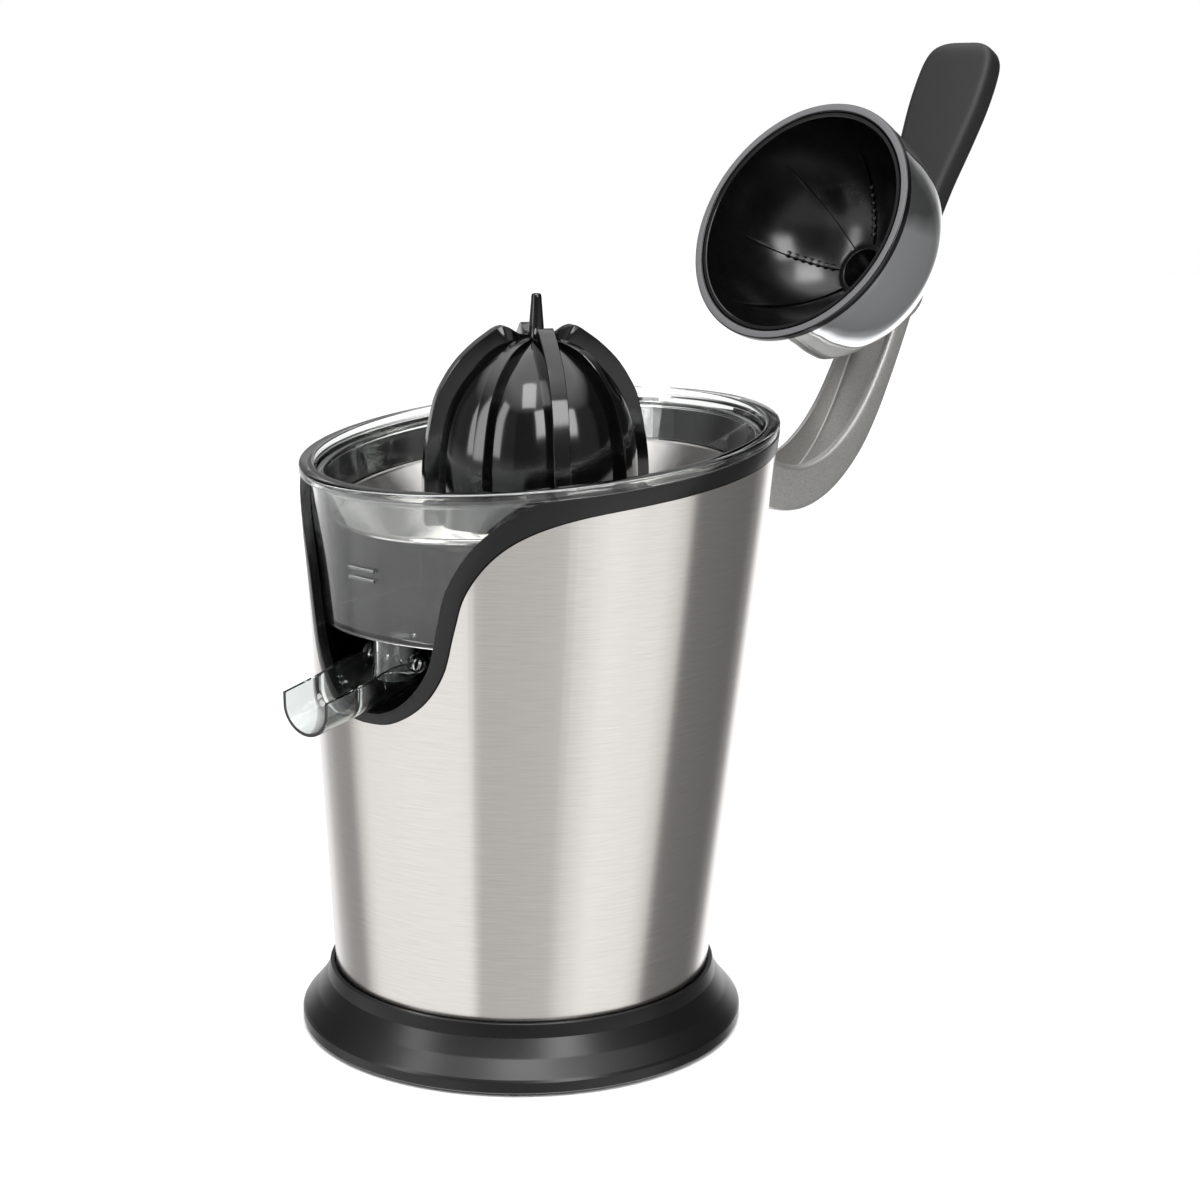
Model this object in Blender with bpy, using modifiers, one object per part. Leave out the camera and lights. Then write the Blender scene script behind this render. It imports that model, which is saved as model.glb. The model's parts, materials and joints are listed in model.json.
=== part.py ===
"""Lever citrus press: a motor base with a steel housing, a clear juice collector with a
tilting spout, a sieve, a driven reamer cone, and a hinged lever arm that carries a press cap.

Metres, +Z up. X = 0 is the plane of symmetry, the spout points along -Y and the lever is
hinged at +Y. The lever is drawn resting on its open stop, as the press stands when idle.
"""

import math

import bmesh
import bpy
from mathutils import Matrix, Vector

MM = 0.001
GAP = 0.3 * MM

# ---------------------------------------------------------------- driving dimensions
FOOT_HEIGHT = 1.2 * MM
BASE_RADIUS = 85 * MM
COLLAR_TOP = 23.6 * MM
COLLAR_RADIUS = 73.9 * MM

HOUSING_BOTTOM = 22 * MM
HOUSING_BOTTOM_RADIUS = 72 * MM
RIM_HALF_WIDTH = 88.4 * MM
RIM_HALF_DEPTH = 91.8 * MM
RIM_CENTRE_Y = 9.7 * MM
RIM_HEIGHT = 224.6 * MM
RIM_SLOPE = math.tan(math.radians(6.3))
STEEL_TOP = 214.5 * MM
TRIM_TOP = 220.6 * MM
LIP_BOTTOM = TRIM_TOP + GAP
STEEL_THICKNESS = 0.8 * MM
CHASSIS_OUTER = 1.1 * MM
CHASSIS_INNER = 3.1 * MM
WALL_SEGMENTS = 48

AXIS_Y = 7.5 * MM
SHAFT_RADIUS = 4 * MM
DECK_HEIGHT = 131.5 * MM
TURRET_HEIGHT = 143 * MM
COLLECTOR_FLOOR = 160 * MM
SIEVE_FLOOR = 192 * MM
SIEVE_RIM = 220 * MM

HINGE = Vector((0, 107 * MM, 215 * MM))
OPEN_ANGLE = math.radians(117)
ARM_HALF_WIDTH = 14 * MM
CAP_AXIS_Y = AXIS_Y - HINGE.y
CAP_RIM_Z = 4 * MM
CAP_RADIUS = 53 * MM

NOZZLE_Y = -62 * MM
SPOUT_PIVOT = Vector((0, NOZZLE_Y, 151 * MM))
SPOUT_FALL = math.radians(13.5)

GEAR_MODULE = 1.25 * MM
WHEEL_TEETH = 40
PINION_TEETH = 10
GEAR_CENTRES = GEAR_MODULE * (WHEEL_TEETH + PINION_TEETH) / 2
LAYSHAFT_Y = AXIS_Y + GEAR_CENTRES
LOWER_PLATE = 79.7 * MM
UPPER_PLATE = 113 * MM
PLATE_THICKNESS = 2.5 * MM
PLATE_Y = 20 * MM
PLATE_RADIUS = 50 * MM

# ---------------------------------------------------------------- scene and materials
for old in list(bpy.data.objects):
    bpy.data.objects.remove(old, do_unlink=True)

parts = bpy.data.collections.new("citrus_press_juicer")
cutters = bpy.data.collections.new("cutters")
bpy.context.scene.collection.children.link(parts)
bpy.context.scene.collection.children.link(cutters)


def material(name, colour, roughness, metallic=0.0, transmission=0.0):
    made = bpy.data.materials.new(name)
    made.use_nodes = True
    shader = made.node_tree.nodes["Principled BSDF"]
    shader.inputs["Base Color"].default_value = (*colour, 1)
    shader.inputs["Roughness"].default_value = roughness
    shader.inputs["Metallic"].default_value = metallic
    shader.inputs["Transmission Weight"].default_value = transmission
    made.diffuse_color = (*colour, 1)
    return made


SATIN_BLACK = material("satin_black_plastic", (0.02, 0.02, 0.022), 0.4)
GLOSS_BLACK = material("gloss_black_plastic", (0.008, 0.008, 0.009), 0.12)
SOFT_BLACK = material("soft_touch_grip", (0.018, 0.018, 0.02), 0.6)
RUBBER = material("rubber", (0.03, 0.03, 0.03), 0.8)
BRUSHED = material("brushed_steel", (0.62, 0.6, 0.57), 0.3, 1.0)
BRIGHT = material("bright_steel", (0.75, 0.75, 0.76), 0.15, 1.0)
CHROME = material("polished_chrome", (0.85, 0.86, 0.88), 0.05, 1.0)
CAST = material("cast_aluminium", (0.42, 0.42, 0.42), 0.5, 1.0)
GREY_RIM = material("satin_grey_plastic", (0.16, 0.16, 0.165), 0.45)
CLEAR = material("clear_plastic", (0.9, 0.92, 0.92), 0.05, 0.0, 0.9)
GEAR_PLASTIC = material("white_gear_plastic", (0.8, 0.78, 0.72), 0.4)
BRONZE = material("bronze", (0.55, 0.36, 0.16), 0.35, 1.0)
COPPER = material("copper_windings", (0.5, 0.22, 0.1), 0.4, 1.0)


# ---------------------------------------------------------------- modelling helpers
def add(name, mesh, paint=None, parent=None, collection=parts):
    """Link a mesh as an object, with its faces smooth up to 30 degrees."""
    obj = bpy.data.objects.new(name, mesh)
    collection.objects.link(obj)
    obj.parent = parent
    if paint:
        mesh.materials.append(paint)
    if mesh.polygons:
        mesh.shade_smooth()
        mesh.set_sharp_from_angle(angle=math.radians(30))
    if collection is cutters:
        obj.hide_render = True
        obj.display_type = "WIRE"
    return obj


def empty(name, place, parent=None):
    made = bpy.data.objects.new(name, None)
    made.location = place
    made.parent = parent
    parts.objects.link(made)
    return made


def bake(obj):
    """Replace an object's mesh with what its modifiers make of it."""
    graph = bpy.context.evaluated_depsgraph_get()
    graph.update()
    mesh = bpy.data.meshes.new_from_object(obj.evaluated_get(graph))
    obj.modifiers.clear()
    obj.data = mesh
    mesh.shade_smooth()
    mesh.set_sharp_from_angle(angle=math.radians(30))
    return obj


def boolean(obj, other, operation="DIFFERENCE"):
    modifier = obj.modifiers.new(operation.title(), "BOOLEAN")
    modifier.operation = operation
    modifier.solver = "EXACT"
    modifier.object = other
    return obj


def finish(bm, name, paint=None, parent=None, collection=parts):
    bmesh.ops.recalc_face_normals(bm, faces=bm.faces)
    mesh = bpy.data.meshes.new(name)
    bm.to_mesh(mesh)
    bm.free()
    return add(name, mesh, paint, parent, collection)


def turned(name, profile, paint, parent=None, y=AXIS_Y, steps=32, collection=parts):
    """Turn (radius, height) points about a vertical axis; a profile off the axis is a ring."""
    bm = bmesh.new()
    points = [bm.verts.new((radius, 0, height)) for radius, height in profile]
    for one, two in zip(points, points[1:]):
        bm.edges.new((one, two))
    if profile[0][0] > 0:
        bm.edges.new((points[-1], points[0]))
    mesh = bpy.data.meshes.new(name)
    bm.to_mesh(mesh)
    bm.free()
    obj = add(name, mesh, paint, parent, collection)
    obj.location.y = y
    screw = obj.modifiers.new("Screw", "SCREW")
    screw.steps = steps
    screw.render_steps = steps
    screw.use_merge_vertices = True
    screw.merge_threshold = 0.01 * MM
    return bake(obj)


def tube(name, inner, outer, low, high, paint, parent=None, y=AXIS_Y, steps=24):
    ring = [(inner, high), (outer, high), (outer, low), (inner, low)]
    return turned(name, ring, paint, parent, y, steps)


def cylinder(name, radius, start, end, paint=None, parent=None, collection=parts, steps=24):
    """A closed cylinder between two points."""
    start, end = Vector(start), Vector(end)
    bm = bmesh.new()
    bmesh.ops.create_cone(
        bm, cap_ends=True, segments=steps, radius1=radius, radius2=radius,
        depth=(end - start).length,
    )
    turn = Vector((0, 0, 1)).rotation_difference(end - start).to_matrix().to_4x4()
    bmesh.ops.transform(bm, matrix=Matrix.Translation((start + end) / 2) @ turn, verts=bm.verts)
    return finish(bm, name, paint, parent, collection)


def box(name, low, high, paint=None, parent=None, collection=parts):
    low, high = Vector(low), Vector(high)
    bm = bmesh.new()
    bmesh.ops.create_cube(bm, size=1)
    bmesh.ops.transform(
        bm, matrix=Matrix.Translation((low + high) / 2) @ Matrix.Diagonal((*(high - low), 1)),
        verts=bm.verts,
    )
    return finish(bm, name, paint, parent, collection)


def smooth_through(points, steps):
    """Points along the Catmull-Rom curve that passes through the given ones."""
    ends = [points[0], *points, points[-1]]
    route = []
    for a, b, c, d in zip(ends, ends[1:], ends[2:], ends[3:]):
        for step in range(steps):
            t = step / steps
            route.append(tuple(
                0.5 * (2 * q + (r - p) * t + (2 * p - 5 * q + 4 * r - s) * t**2
                       + (3 * q - p - 3 * r + s) * t**3)
                for p, q, r, s in zip(a, b, c, d)
            ))
    route.append(tuple(points[-1]))
    return route


SIDE_VIEW = Matrix(((0, 0, 1, 0), (1, 0, 0, 0), (0, 1, 0, 0), (0, 0, 0, 1)))
FRONT_VIEW = Matrix(((1, 0, 0, 0), (0, 0, -1, 0), (0, 1, 0, 0), (0, 0, 0, 1)))


def plate(name, outline, half_depth, view, paint=None, parent=None, collection=parts, hole=None):
    """A flat outline, drawn in the given view, with the same thickness on both sides."""
    curve = bpy.data.curves.new(name, "CURVE")
    curve.dimensions = "2D"
    curve.fill_mode = "BOTH"
    curve.extrude = half_depth
    for points in [outline] + ([hole] if hole else []):
        spline = curve.splines.new("POLY")
        spline.points.add(len(points) - 1)
        spline.use_cyclic_u = True
        for knot, (across, upward) in zip(spline.points, points):
            knot.co = (across, upward, 0, 1)
    drawn = bpy.data.objects.new(name + "_outline", curve)
    cutters.objects.link(drawn)
    graph = bpy.context.evaluated_depsgraph_get()
    graph.update()
    mesh = bpy.data.meshes.new_from_object(drawn.evaluated_get(graph))
    bpy.data.objects.remove(drawn)
    bm = bmesh.new()
    bm.from_mesh(mesh)
    bmesh.ops.remove_doubles(bm, verts=bm.verts, dist=0.01 * MM)
    bmesh.ops.transform(bm, matrix=view, verts=bm.verts)
    return finish(bm, name, paint, parent, collection)


def circle(radius, height, y=AXIS_Y, count=WALL_SEGMENTS, x=0.0):
    return [
        (x + radius * math.cos(angle), y + radius * math.sin(angle), height)
        for angle in (2 * math.pi * step / count for step in range(count))
    ]


def wall_ring(inset, height, tilted=True):
    """A ring on the housing's flared wall, moved in by inset.

    The wall's straight lines run from the round bottom to the oval, sloping rim. A tilted
    ring is parallel to the rim, and its height is that of its plane over the origin.
    """
    ring = []
    slope = RIM_SLOPE if tilted else 0.0
    for step in range(WALL_SEGMENTS):
        angle = 2 * math.pi * step / WALL_SEGMENTS
        along, across = math.cos(angle), math.sin(angle)
        foot_radius = HOUSING_BOTTOM_RADIUS - inset
        foot = Vector((foot_radius * along, foot_radius * across, HOUSING_BOTTOM))
        rim_y = RIM_CENTRE_Y + (RIM_HALF_DEPTH - inset) * across
        rim = Vector(((RIM_HALF_WIDTH - inset) * along, rim_y, RIM_HEIGHT + RIM_SLOPE * rim_y))
        line = rim - foot
        rise = (height - foot.z + slope * foot.y) / (line.z - slope * line.y)
        ring.append(tuple(foot + rise * line))
    return ring


def ring_solid(name, rings, paint=None, parent=None, collection=parts, closed=True):
    """Skin a row of rings of one count; a closed row bends back on itself, an open one is capped."""
    bm = bmesh.new()
    rows = [[bm.verts.new(point) for point in ring] for ring in rings]
    pairs = list(zip(rows, rows[1:]))
    if closed:
        pairs.append((rows[-1], rows[0]))
    for one, two in pairs:
        for index in range(len(one)):
            after = (index + 1) % len(one)
            bm.faces.new((one[index], one[after], two[after], two[index]))
    if not closed:
        bm.faces.new(rows[0])
        bm.faces.new(rows[-1])
    return finish(bm, name, paint, parent, collection)


# ---------------------------------------------------------------- base
turned(
    "base_ring",
    [
        (COLLAR_RADIUS, COLLAR_TOP),
        (75.5 * MM, 19 * MM),
        (79 * MM, 11.5 * MM),
        (83.3 * MM, 6.6 * MM),
        (BASE_RADIUS, 5.8 * MM),
        (BASE_RADIUS, 1.8 * MM),
        (84.4 * MM, FOOT_HEIGHT),
        (74 * MM, FOOT_HEIGHT),
        (74 * MM, 4.2 * MM),
        (69.5 * MM, 4.2 * MM),
        (69.5 * MM, 19.6 * MM),
        (72.7 * MM, 19.6 * MM),
        (72.7 * MM, COLLAR_TOP),
    ],
    SATIN_BLACK, y=0, steps=WALL_SEGMENTS,
)
INLET_HEIGHT = 13 * MM
inlet_hole = cylinder(
    "inlet_hole", 4.3 * MM, (0, 66 * MM, INLET_HEIGHT), (0, 90 * MM, INLET_HEIGHT),
    collection=cutters,
)
bake(boolean(bpy.data.objects["base_ring"], inlet_hole))
inlet = turned(
    "cable_inlet",
    [
        (2.6 * MM, 16 * MM), (3.2 * MM, 16 * MM), (4 * MM, 14.5 * MM), (4 * MM, 0.3 * MM),
        (6 * MM, 0.3 * MM), (6 * MM, -2 * MM), (2.6 * MM, -2 * MM),
    ],
    RUBBER, steps=16,
)
inlet.location = (0, 68.6 * MM, INLET_HEIGHT)
inlet.rotation_euler.x = -math.pi / 2

turned(
    "bottom_cover",
    [(0, 3.9 * MM), (73.6 * MM, 3.9 * MM), (73.6 * MM, 1.5 * MM), (0, 1.5 * MM)],
    SATIN_BLACK, y=0, steps=WALL_SEGMENTS,
)
SCREW_CIRCLE = 56 * MM
FOOT_CIRCLE = 79 * MM
FOOT_ANGLES = (45, 135, 225, 315)
SCREW_ANGLES = (90, 210, 330)
for number, degrees in enumerate(SCREW_ANGLES, 1):
    angle = math.radians(degrees)
    spot = Vector((SCREW_CIRCLE * math.cos(angle), SCREW_CIRCLE * math.sin(angle), 0))
    hole = cylinder(
        f"screw_hole_{number}", 3.3 * MM, spot, spot + Vector((0, 0, 6 * MM)), collection=cutters,
    )
    boolean(bpy.data.objects["bottom_cover"], hole)
    screw = turned(
        f"cover_screw_{number}",
        [
            (0, 9 * MM), (1.6 * MM, 9 * MM), (1.6 * MM, 3.6 * MM), (3 * MM, 3.6 * MM),
            (3 * MM, 1.8 * MM), (0, 1.8 * MM),
        ],
        BRIGHT, y=0, steps=16,
    )
    screw.location = spot
bake(bpy.data.objects["bottom_cover"])
for number, degrees in enumerate(FOOT_ANGLES, 1):
    angle = math.radians(degrees)
    foot = turned(
        f"foot_{number}",
        [(0, FOOT_HEIGHT - 0.05 * MM), (4.5 * MM, FOOT_HEIGHT - 0.05 * MM), (4 * MM, 0), (0, 0)],
        RUBBER, steps=16,
    )
    foot.location = (FOOT_CIRCLE * math.cos(angle), FOOT_CIRCLE * math.sin(angle), 0)

# ---------------------------------------------------------------- housing walls
CUT_OUT = [
    (0, 139), (14, 140.5), (27, 148), (35.5, 160), (40, 176), (44, 189), (52, 201), (62, 209),
    (75, 213.6), (92, STEEL_TOP / MM),
]
CUT_OUT_INSIDE = [
    (0, 142.8), (11, 144), (21.5, 150), (30, 161), (34, 175), (37.5, 189), (44.5, 202),
    (54, 212.5), (68, 222),
]


def cut_out_prism(name, half_outline, top, rear):
    """The front opening's outline, pushed along the rim's slope from the front to rear."""
    half = [(x * MM, z * MM) for x, z in smooth_through(half_outline, 3)]
    outline = half + [(half[-1][0], top), (-half[-1][0], top)]
    outline += [(-x, z) for x, z in reversed(half[1:])]
    front = -130 * MM
    prism = plate(name, outline, (rear - front) / 2, FRONT_VIEW, collection=cutters)
    shear = Matrix.Identity(4)
    shear[2][1] = RIM_SLOPE
    prism.data.transform(shear @ Matrix.Translation((0, (rear + front) / 2, 0)))
    return prism


ABOVE_RIM = 260 * MM
steel_cut = cut_out_prism("steel_cut_out", CUT_OUT, ABOVE_RIM, 5 * MM)
trim_cut = cut_out_prism("trim_cut_out", CUT_OUT_INSIDE, ABOVE_RIM, -25 * MM)
bracket_notch = box(
    "bracket_notch", (-22.3 * MM, 80 * MM, 194.7 * MM), (22.3 * MM, 115 * MM, 245 * MM),
    collection=cutters,
)

steel = ring_solid(
    "steel_housing",
    [
        wall_ring(0, 20 * MM, False),
        wall_ring(0, STEEL_TOP),
        wall_ring(STEEL_THICKNESS, STEEL_TOP),
        wall_ring(STEEL_THICKNESS, 20 * MM, False),
    ],
    BRUSHED,
)
boolean(steel, steel_cut)
boolean(steel, bracket_notch)
bake(steel)

# The trim is a thin band above the steel that also runs round the front opening.
trim = ring_solid(
    "trim_band",
    [
        wall_ring(-0.25 * MM, 136 * MM),
        wall_ring(-0.25 * MM, TRIM_TOP),
        wall_ring(STEEL_THICKNESS, TRIM_TOP),
        wall_ring(STEEL_THICKNESS, 136 * MM),
    ],
    SATIN_BLACK,
)
trim_zone = cut_out_prism(
    "trim_zone", [(x - GAP / MM if x else 0, z + GAP / MM) for x, z in CUT_OUT],
    ABOVE_RIM, 0.0,
)
above_steel = ring_solid(
    "above_steel",
    [wall_ring(-10 * MM, STEEL_TOP + GAP), wall_ring(-10 * MM, ABOVE_RIM)],
    collection=cutters, closed=False,
)
bake(boolean(trim_zone, above_steel, "UNION"))
boolean(trim, trim_zone, "INTERSECT")
boolean(trim, trim_cut)
boolean(trim, bracket_notch)
bake(trim)

SHELF_TOP = LOWER_PLATE - GAP
chassis = ring_solid(
    "chassis",
    [
        wall_ring(CHASSIS_OUTER, 20 * MM, False),
        wall_ring(CHASSIS_OUTER, TRIM_TOP),
        wall_ring(CHASSIS_INNER, TRIM_TOP),
        wall_ring(CHASSIS_INNER, DECK_HEIGHT, False),
        circle(26 * MM, DECK_HEIGHT),
        circle(24 * MM, TURRET_HEIGHT),
        circle(5 * MM, TURRET_HEIGHT),
        circle(5 * MM, TURRET_HEIGHT - 2 * MM),
        circle(22 * MM, TURRET_HEIGHT - 2 * MM),
        circle(23.5 * MM, DECK_HEIGHT - 2.5 * MM),
        wall_ring(CHASSIS_INNER, DECK_HEIGHT - 2.5 * MM, False),
        wall_ring(CHASSIS_INNER, SHELF_TOP, False),
        circle(44 * MM, SHELF_TOP, PLATE_Y),
        circle(44 * MM, SHELF_TOP - 2.5 * MM, PLATE_Y),
        wall_ring(CHASSIS_INNER, SHELF_TOP - 6 * MM, False),
        wall_ring(CHASSIS_INNER, 20 * MM, False),
    ],
    SATIN_BLACK,
)
boolean(chassis, trim_cut)
boolean(chassis, bracket_notch)
bake(chassis)

# ---------------------------------------------------------------- hinge bracket
BRACKET_FACE = 98 * MM
EAR_RADIUS = 9 * MM
bracket = box(
    "hinge_bracket", (-22 * MM, 90 * MM, 195 * MM), (22 * MM, BRACKET_FACE, 229.6 * MM),
    SATIN_BLACK,
)
ear_outline = [
    (96 * MM, 197 * MM), (101 * MM, 200 * MM), (112 * MM, 206.5 * MM),
    *[
        (HINGE.y + EAR_RADIUS * math.cos(turn), HINGE.z + EAR_RADIUS * math.sin(turn))
        for turn in (math.radians(degrees) for degrees in range(-30, 100, 26))
    ],
    (96 * MM, 224.5 * MM),
]
for side in (-1, 1):
    ear = plate(f"bracket_ear_{side + 1}", ear_outline, 3 * MM, SIDE_VIEW, collection=cutters)
    ear.location.x = side * 17.6 * MM
    boolean(bracket, ear, "UNION")
stop_block = box(
    "stop_block", (-13 * MM, 96 * MM, 196 * MM), (13 * MM, 103 * MM, 202.5 * MM),
    collection=cutters,
)
boolean(bracket, stop_block, "UNION")
pin_hole = cylinder(
    "bracket_pin_hole", 3.3 * MM, HINGE - Vector((30 * MM, 0, 0)), HINGE + Vector((30 * MM, 0, 0)),
    collection=cutters,
)
boolean(bracket, pin_hole)
rim_clearance = ring_solid(
    "rim_clearance", [wall_ring(-20 * MM, TRIM_TOP), wall_ring(-20 * MM, ABOVE_RIM)],
    collection=cutters, closed=False,
)
boolean(bracket, rim_clearance)
wall_core = ring_solid(
    "wall_core", [wall_ring(CHASSIS_INNER, 150 * MM), wall_ring(CHASSIS_INNER, ABOVE_RIM)],
    collection=cutters, closed=False,
)
boolean(bracket, wall_core)
bake(bracket)

# ---------------------------------------------------------------- motor and gear plates
MOTOR_RADIUS = 32 * MM
tube("motor_stator", 20 * MM, MOTOR_RADIUS, 14 * MM, 70 * MM, COPPER)
tube("motor_end_lower", 3.5 * MM, MOTOR_RADIUS, 10 * MM, 13.7 * MM, CAST)
tube("motor_end_upper", 3.5 * MM, MOTOR_RADIUS, 70.3 * MM, 74 * MM, CAST)
for number, degrees in enumerate((50, 130, 270), 1):
    angle = math.radians(degrees)
    reach = 28 * MM
    cylinder(
        f"motor_post_{number}", 3 * MM,
        (reach * math.cos(angle), AXIS_Y + reach * math.sin(angle), 74.3 * MM),
        (reach * math.cos(angle), AXIS_Y + reach * math.sin(angle), LOWER_PLATE - GAP),
        BRIGHT, steps=16,
    )
for name, low, shaft_hole in (
    ("gear_plate_lower", LOWER_PLATE, 4 * MM),
    ("gear_plate_upper", UPPER_PLATE, 6.3 * MM),
):
    gear_plate = turned(
        name,
        [
            (0, low + PLATE_THICKNESS), (PLATE_RADIUS, low + PLATE_THICKNESS), (PLATE_RADIUS, low),
            (0, low),
        ],
        BRIGHT, y=PLATE_Y,
    )
    for index, (y, radius) in enumerate(((AXIS_Y, shaft_hole), (LAYSHAFT_Y, 2.8 * MM))):
        hole = cylinder(
            f"{name}_hole_{index}", radius, (0, y, low - 5 * MM), (0, y, low + 8 * MM),
            collection=cutters,
        )
        boolean(gear_plate, hole)
    bake(gear_plate)
for number, (x, y) in enumerate(((-38, 30), (38, 30), (0, -27)), 1):
    cylinder(
        f"plate_spacer_{number}", 3 * MM,
        (x * MM, y * MM, LOWER_PLATE + PLATE_THICKNESS + GAP),
        (x * MM, y * MM, UPPER_PLATE - GAP), BRIGHT, steps=16,
    )
turned(
    "shaft_bush",
    [
        (SHAFT_RADIUS + GAP, 119 * MM), (6 * MM, 119 * MM), (6 * MM, UPPER_PLATE - 0.5 * MM),
        (8 * MM, UPPER_PLATE - 0.5 * MM), (8 * MM, UPPER_PLATE - 2 * MM),
        (SHAFT_RADIUS + GAP, UPPER_PLATE - 2 * MM),
    ],
    BRONZE, steps=32,
)
tube("shaft_seal", SHAFT_RADIUS + GAP, 8 * MM, TURRET_HEIGHT + GAP, 146 * MM, RUBBER)

PLUNGER_X = 10.5 * MM
switch = box(
    "microswitch", (8.8 * MM, AXIS_Y - 4 * MM, 115.8 * MM), (20 * MM, AXIS_Y + 4 * MM, 126 * MM),
    SATIN_BLACK,
)
plunger_hole = cylinder(
    "plunger_hole", 1.4 * MM, (PLUNGER_X, AXIS_Y, 119 * MM), (PLUNGER_X, AXIS_Y, 130 * MM),
    collection=cutters, steps=12,
)
bake(boolean(switch, plunger_hole))


# ---------------------------------------------------------------- gears
def gear_outline(teeth):
    """Slim straight-sided teeth: narrow enough at the tip to run clear all the way round."""
    pitch = GEAR_MODULE * teeth / 2
    root, tip = pitch - 1.3 * GEAR_MODULE, pitch + 0.8 * GEAR_MODULE
    root_half, tip_half = 0.85 * GEAR_MODULE, 0.28 * GEAR_MODULE
    outline = []
    for tooth in range(teeth):
        middle = 2 * math.pi * tooth / teeth
        flanks = ((root, -root_half), (tip, -tip_half), (tip, tip_half), (root, root_half))
        for radius, half in flanks:
            angle = middle + half / radius
            outline.append((radius * math.cos(angle), radius * math.sin(angle)))
    return outline


def gear(name, teeth, bore, low, high, paint, parent):
    """A flat gear on its parent's vertical axis, with its first tooth along +X."""
    hole = [(a, b) for a, b, _ in circle(bore, 0, 0, 20)]
    made = plate(
        name, gear_outline(teeth), (high - low) / 2, Matrix.Identity(4), paint, parent, hole=hole,
    )
    made.location.z = (low + high) / 2


motor_axis = empty("motor_axis", (0, AXIS_Y, 0))
layshaft_axis = empty("layshaft_axis", (0, LAYSHAFT_Y, 0))
press_axis = empty("press_axis", (0, AXIS_Y, 0))
drive_axis = empty("drive_axis", (0, 0, 0), press_axis)

turned(
    "motor_rotor",
    [
        (0, 96 * MM), (3 * MM, 96 * MM), (3 * MM, 68 * MM), (19 * MM, 68 * MM), (19 * MM, 16 * MM),
        (3 * MM, 16 * MM), (3 * MM, 9 * MM), (0, 9 * MM),
    ],
    BRIGHT, motor_axis, 0, 32,
)
gear("motor_pinion", PINION_TEETH, 3.3 * MM, 86 * MM, 95.6 * MM, BRIGHT, motor_axis)

gear("intermediate_wheel", WHEEL_TEETH, 2.8 * MM, 87 * MM, 94 * MM, GEAR_PLASTIC, layshaft_axis)
gear("intermediate_pinion", PINION_TEETH, 2.8 * MM, 94.3 * MM, 110.5 * MM, BRIGHT, layshaft_axis)
cylinder("layshaft", 2.5 * MM, (0, 0, 78.5 * MM), (0, 0, 116 * MM), BRIGHT, layshaft_axis, steps=16)

gear("output_gear", WHEEL_TEETH, 4.3 * MM, 100 * MM, 108 * MM, GEAR_PLASTIC, drive_axis)
turned(
    "drive_shaft",
    [
        (0, 225 * MM), (3.4 * MM, 225 * MM), (SHAFT_RADIUS, 224.2 * MM), (SHAFT_RADIUS, 99 * MM),
        (0, 99 * MM),
    ],
    BRIGHT, drive_axis, 0, 24,
)
tube("shaft_circlip", SHAFT_RADIUS + GAP, 6 * MM, 137.3 * MM, 138.4 * MM, BRIGHT, drive_axis, 0, 24)
tube("thrust_collar", SHAFT_RADIUS + GAP, 13 * MM, 133 * MM, 137 * MM, BRONZE, press_axis, 0)
cylinder(
    "switch_plunger", 1 * MM, (PLUNGER_X, 0, 122.5 * MM), (PLUNGER_X, 0, 132.7 * MM),
    GLOSS_BLACK, press_axis, steps=12,
)

# The return spring, between the gear plate and the thrust collar.
SPRING_TURNS = 4
POINTS_PER_TURN = 10
SPRING_RADIUS = 7 * MM
SPRING_LOW, SPRING_HIGH = 116.6 * MM, 131.9 * MM
coil = bpy.data.curves.new("return_spring", "CURVE")
coil.dimensions = "3D"
coil.bevel_depth = 0.55 * MM
coil.bevel_resolution = 1
coil.use_fill_caps = True
turns = coil.splines.new("POLY")
COIL_POINTS = POINTS_PER_TURN * SPRING_TURNS
turns.points.add(COIL_POINTS)
for index, knot in enumerate(turns.points):
    angle = 2 * math.pi * index / POINTS_PER_TURN
    rise = SPRING_LOW + (SPRING_HIGH - SPRING_LOW) * index / COIL_POINTS
    knot.co = (SPRING_RADIUS * math.cos(angle), SPRING_RADIUS * math.sin(angle), rise, 1)
spring = bpy.data.objects.new("return_spring", coil)
coil.materials.append(BRIGHT)
parts.objects.link(spring)
spring.location.y = AXIS_Y

# ---------------------------------------------------------------- juice collector
collector_lift = empty("collector_lift", (0, 0, 0))
FLOOR_TOP = COLLECTOR_FLOOR + 2 * MM
collector = ring_solid(
    "collector",
    [
        wall_ring(3.6 * MM, COLLECTOR_FLOOR, False),
        wall_ring(3.6 * MM, LIP_BOTTOM),
        wall_ring(0, LIP_BOTTOM),
        wall_ring(0, RIM_HEIGHT),
        wall_ring(5.6 * MM, RIM_HEIGHT),
        wall_ring(5.6 * MM, FLOOR_TOP, False),
        circle(11.5 * MM, FLOOR_TOP),
        circle(11 * MM, SIEVE_FLOOR + 5 * MM),
        circle(9 * MM, SIEVE_FLOOR + 5 * MM),
        circle(9 * MM, COLLECTOR_FLOOR),
    ],
    CLEAR, collector_lift,
)
nozzle = cylinder(
    "nozzle_body", 8.5 * MM, (0, NOZZLE_Y, 144.5 * MM), (0, NOZZLE_Y, 161 * MM), collection=cutters,
)
nozzle_bore = cylinder(
    "nozzle_bore", 6.6 * MM, (0, NOZZLE_Y, 140 * MM), (0, NOZZLE_Y, 170 * MM), collection=cutters,
)
trunnion = cylinder(
    "trunnion", 2.5 * MM, SPOUT_PIVOT - Vector((11 * MM, 0, 0)), SPOUT_PIVOT + Vector((11 * MM, 0, 0)),
    collection=cutters, steps=16,
)
boolean(collector, nozzle, "UNION")
boolean(collector, trunnion, "UNION")
boolean(collector, nozzle_bore)
bake(collector)

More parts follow.
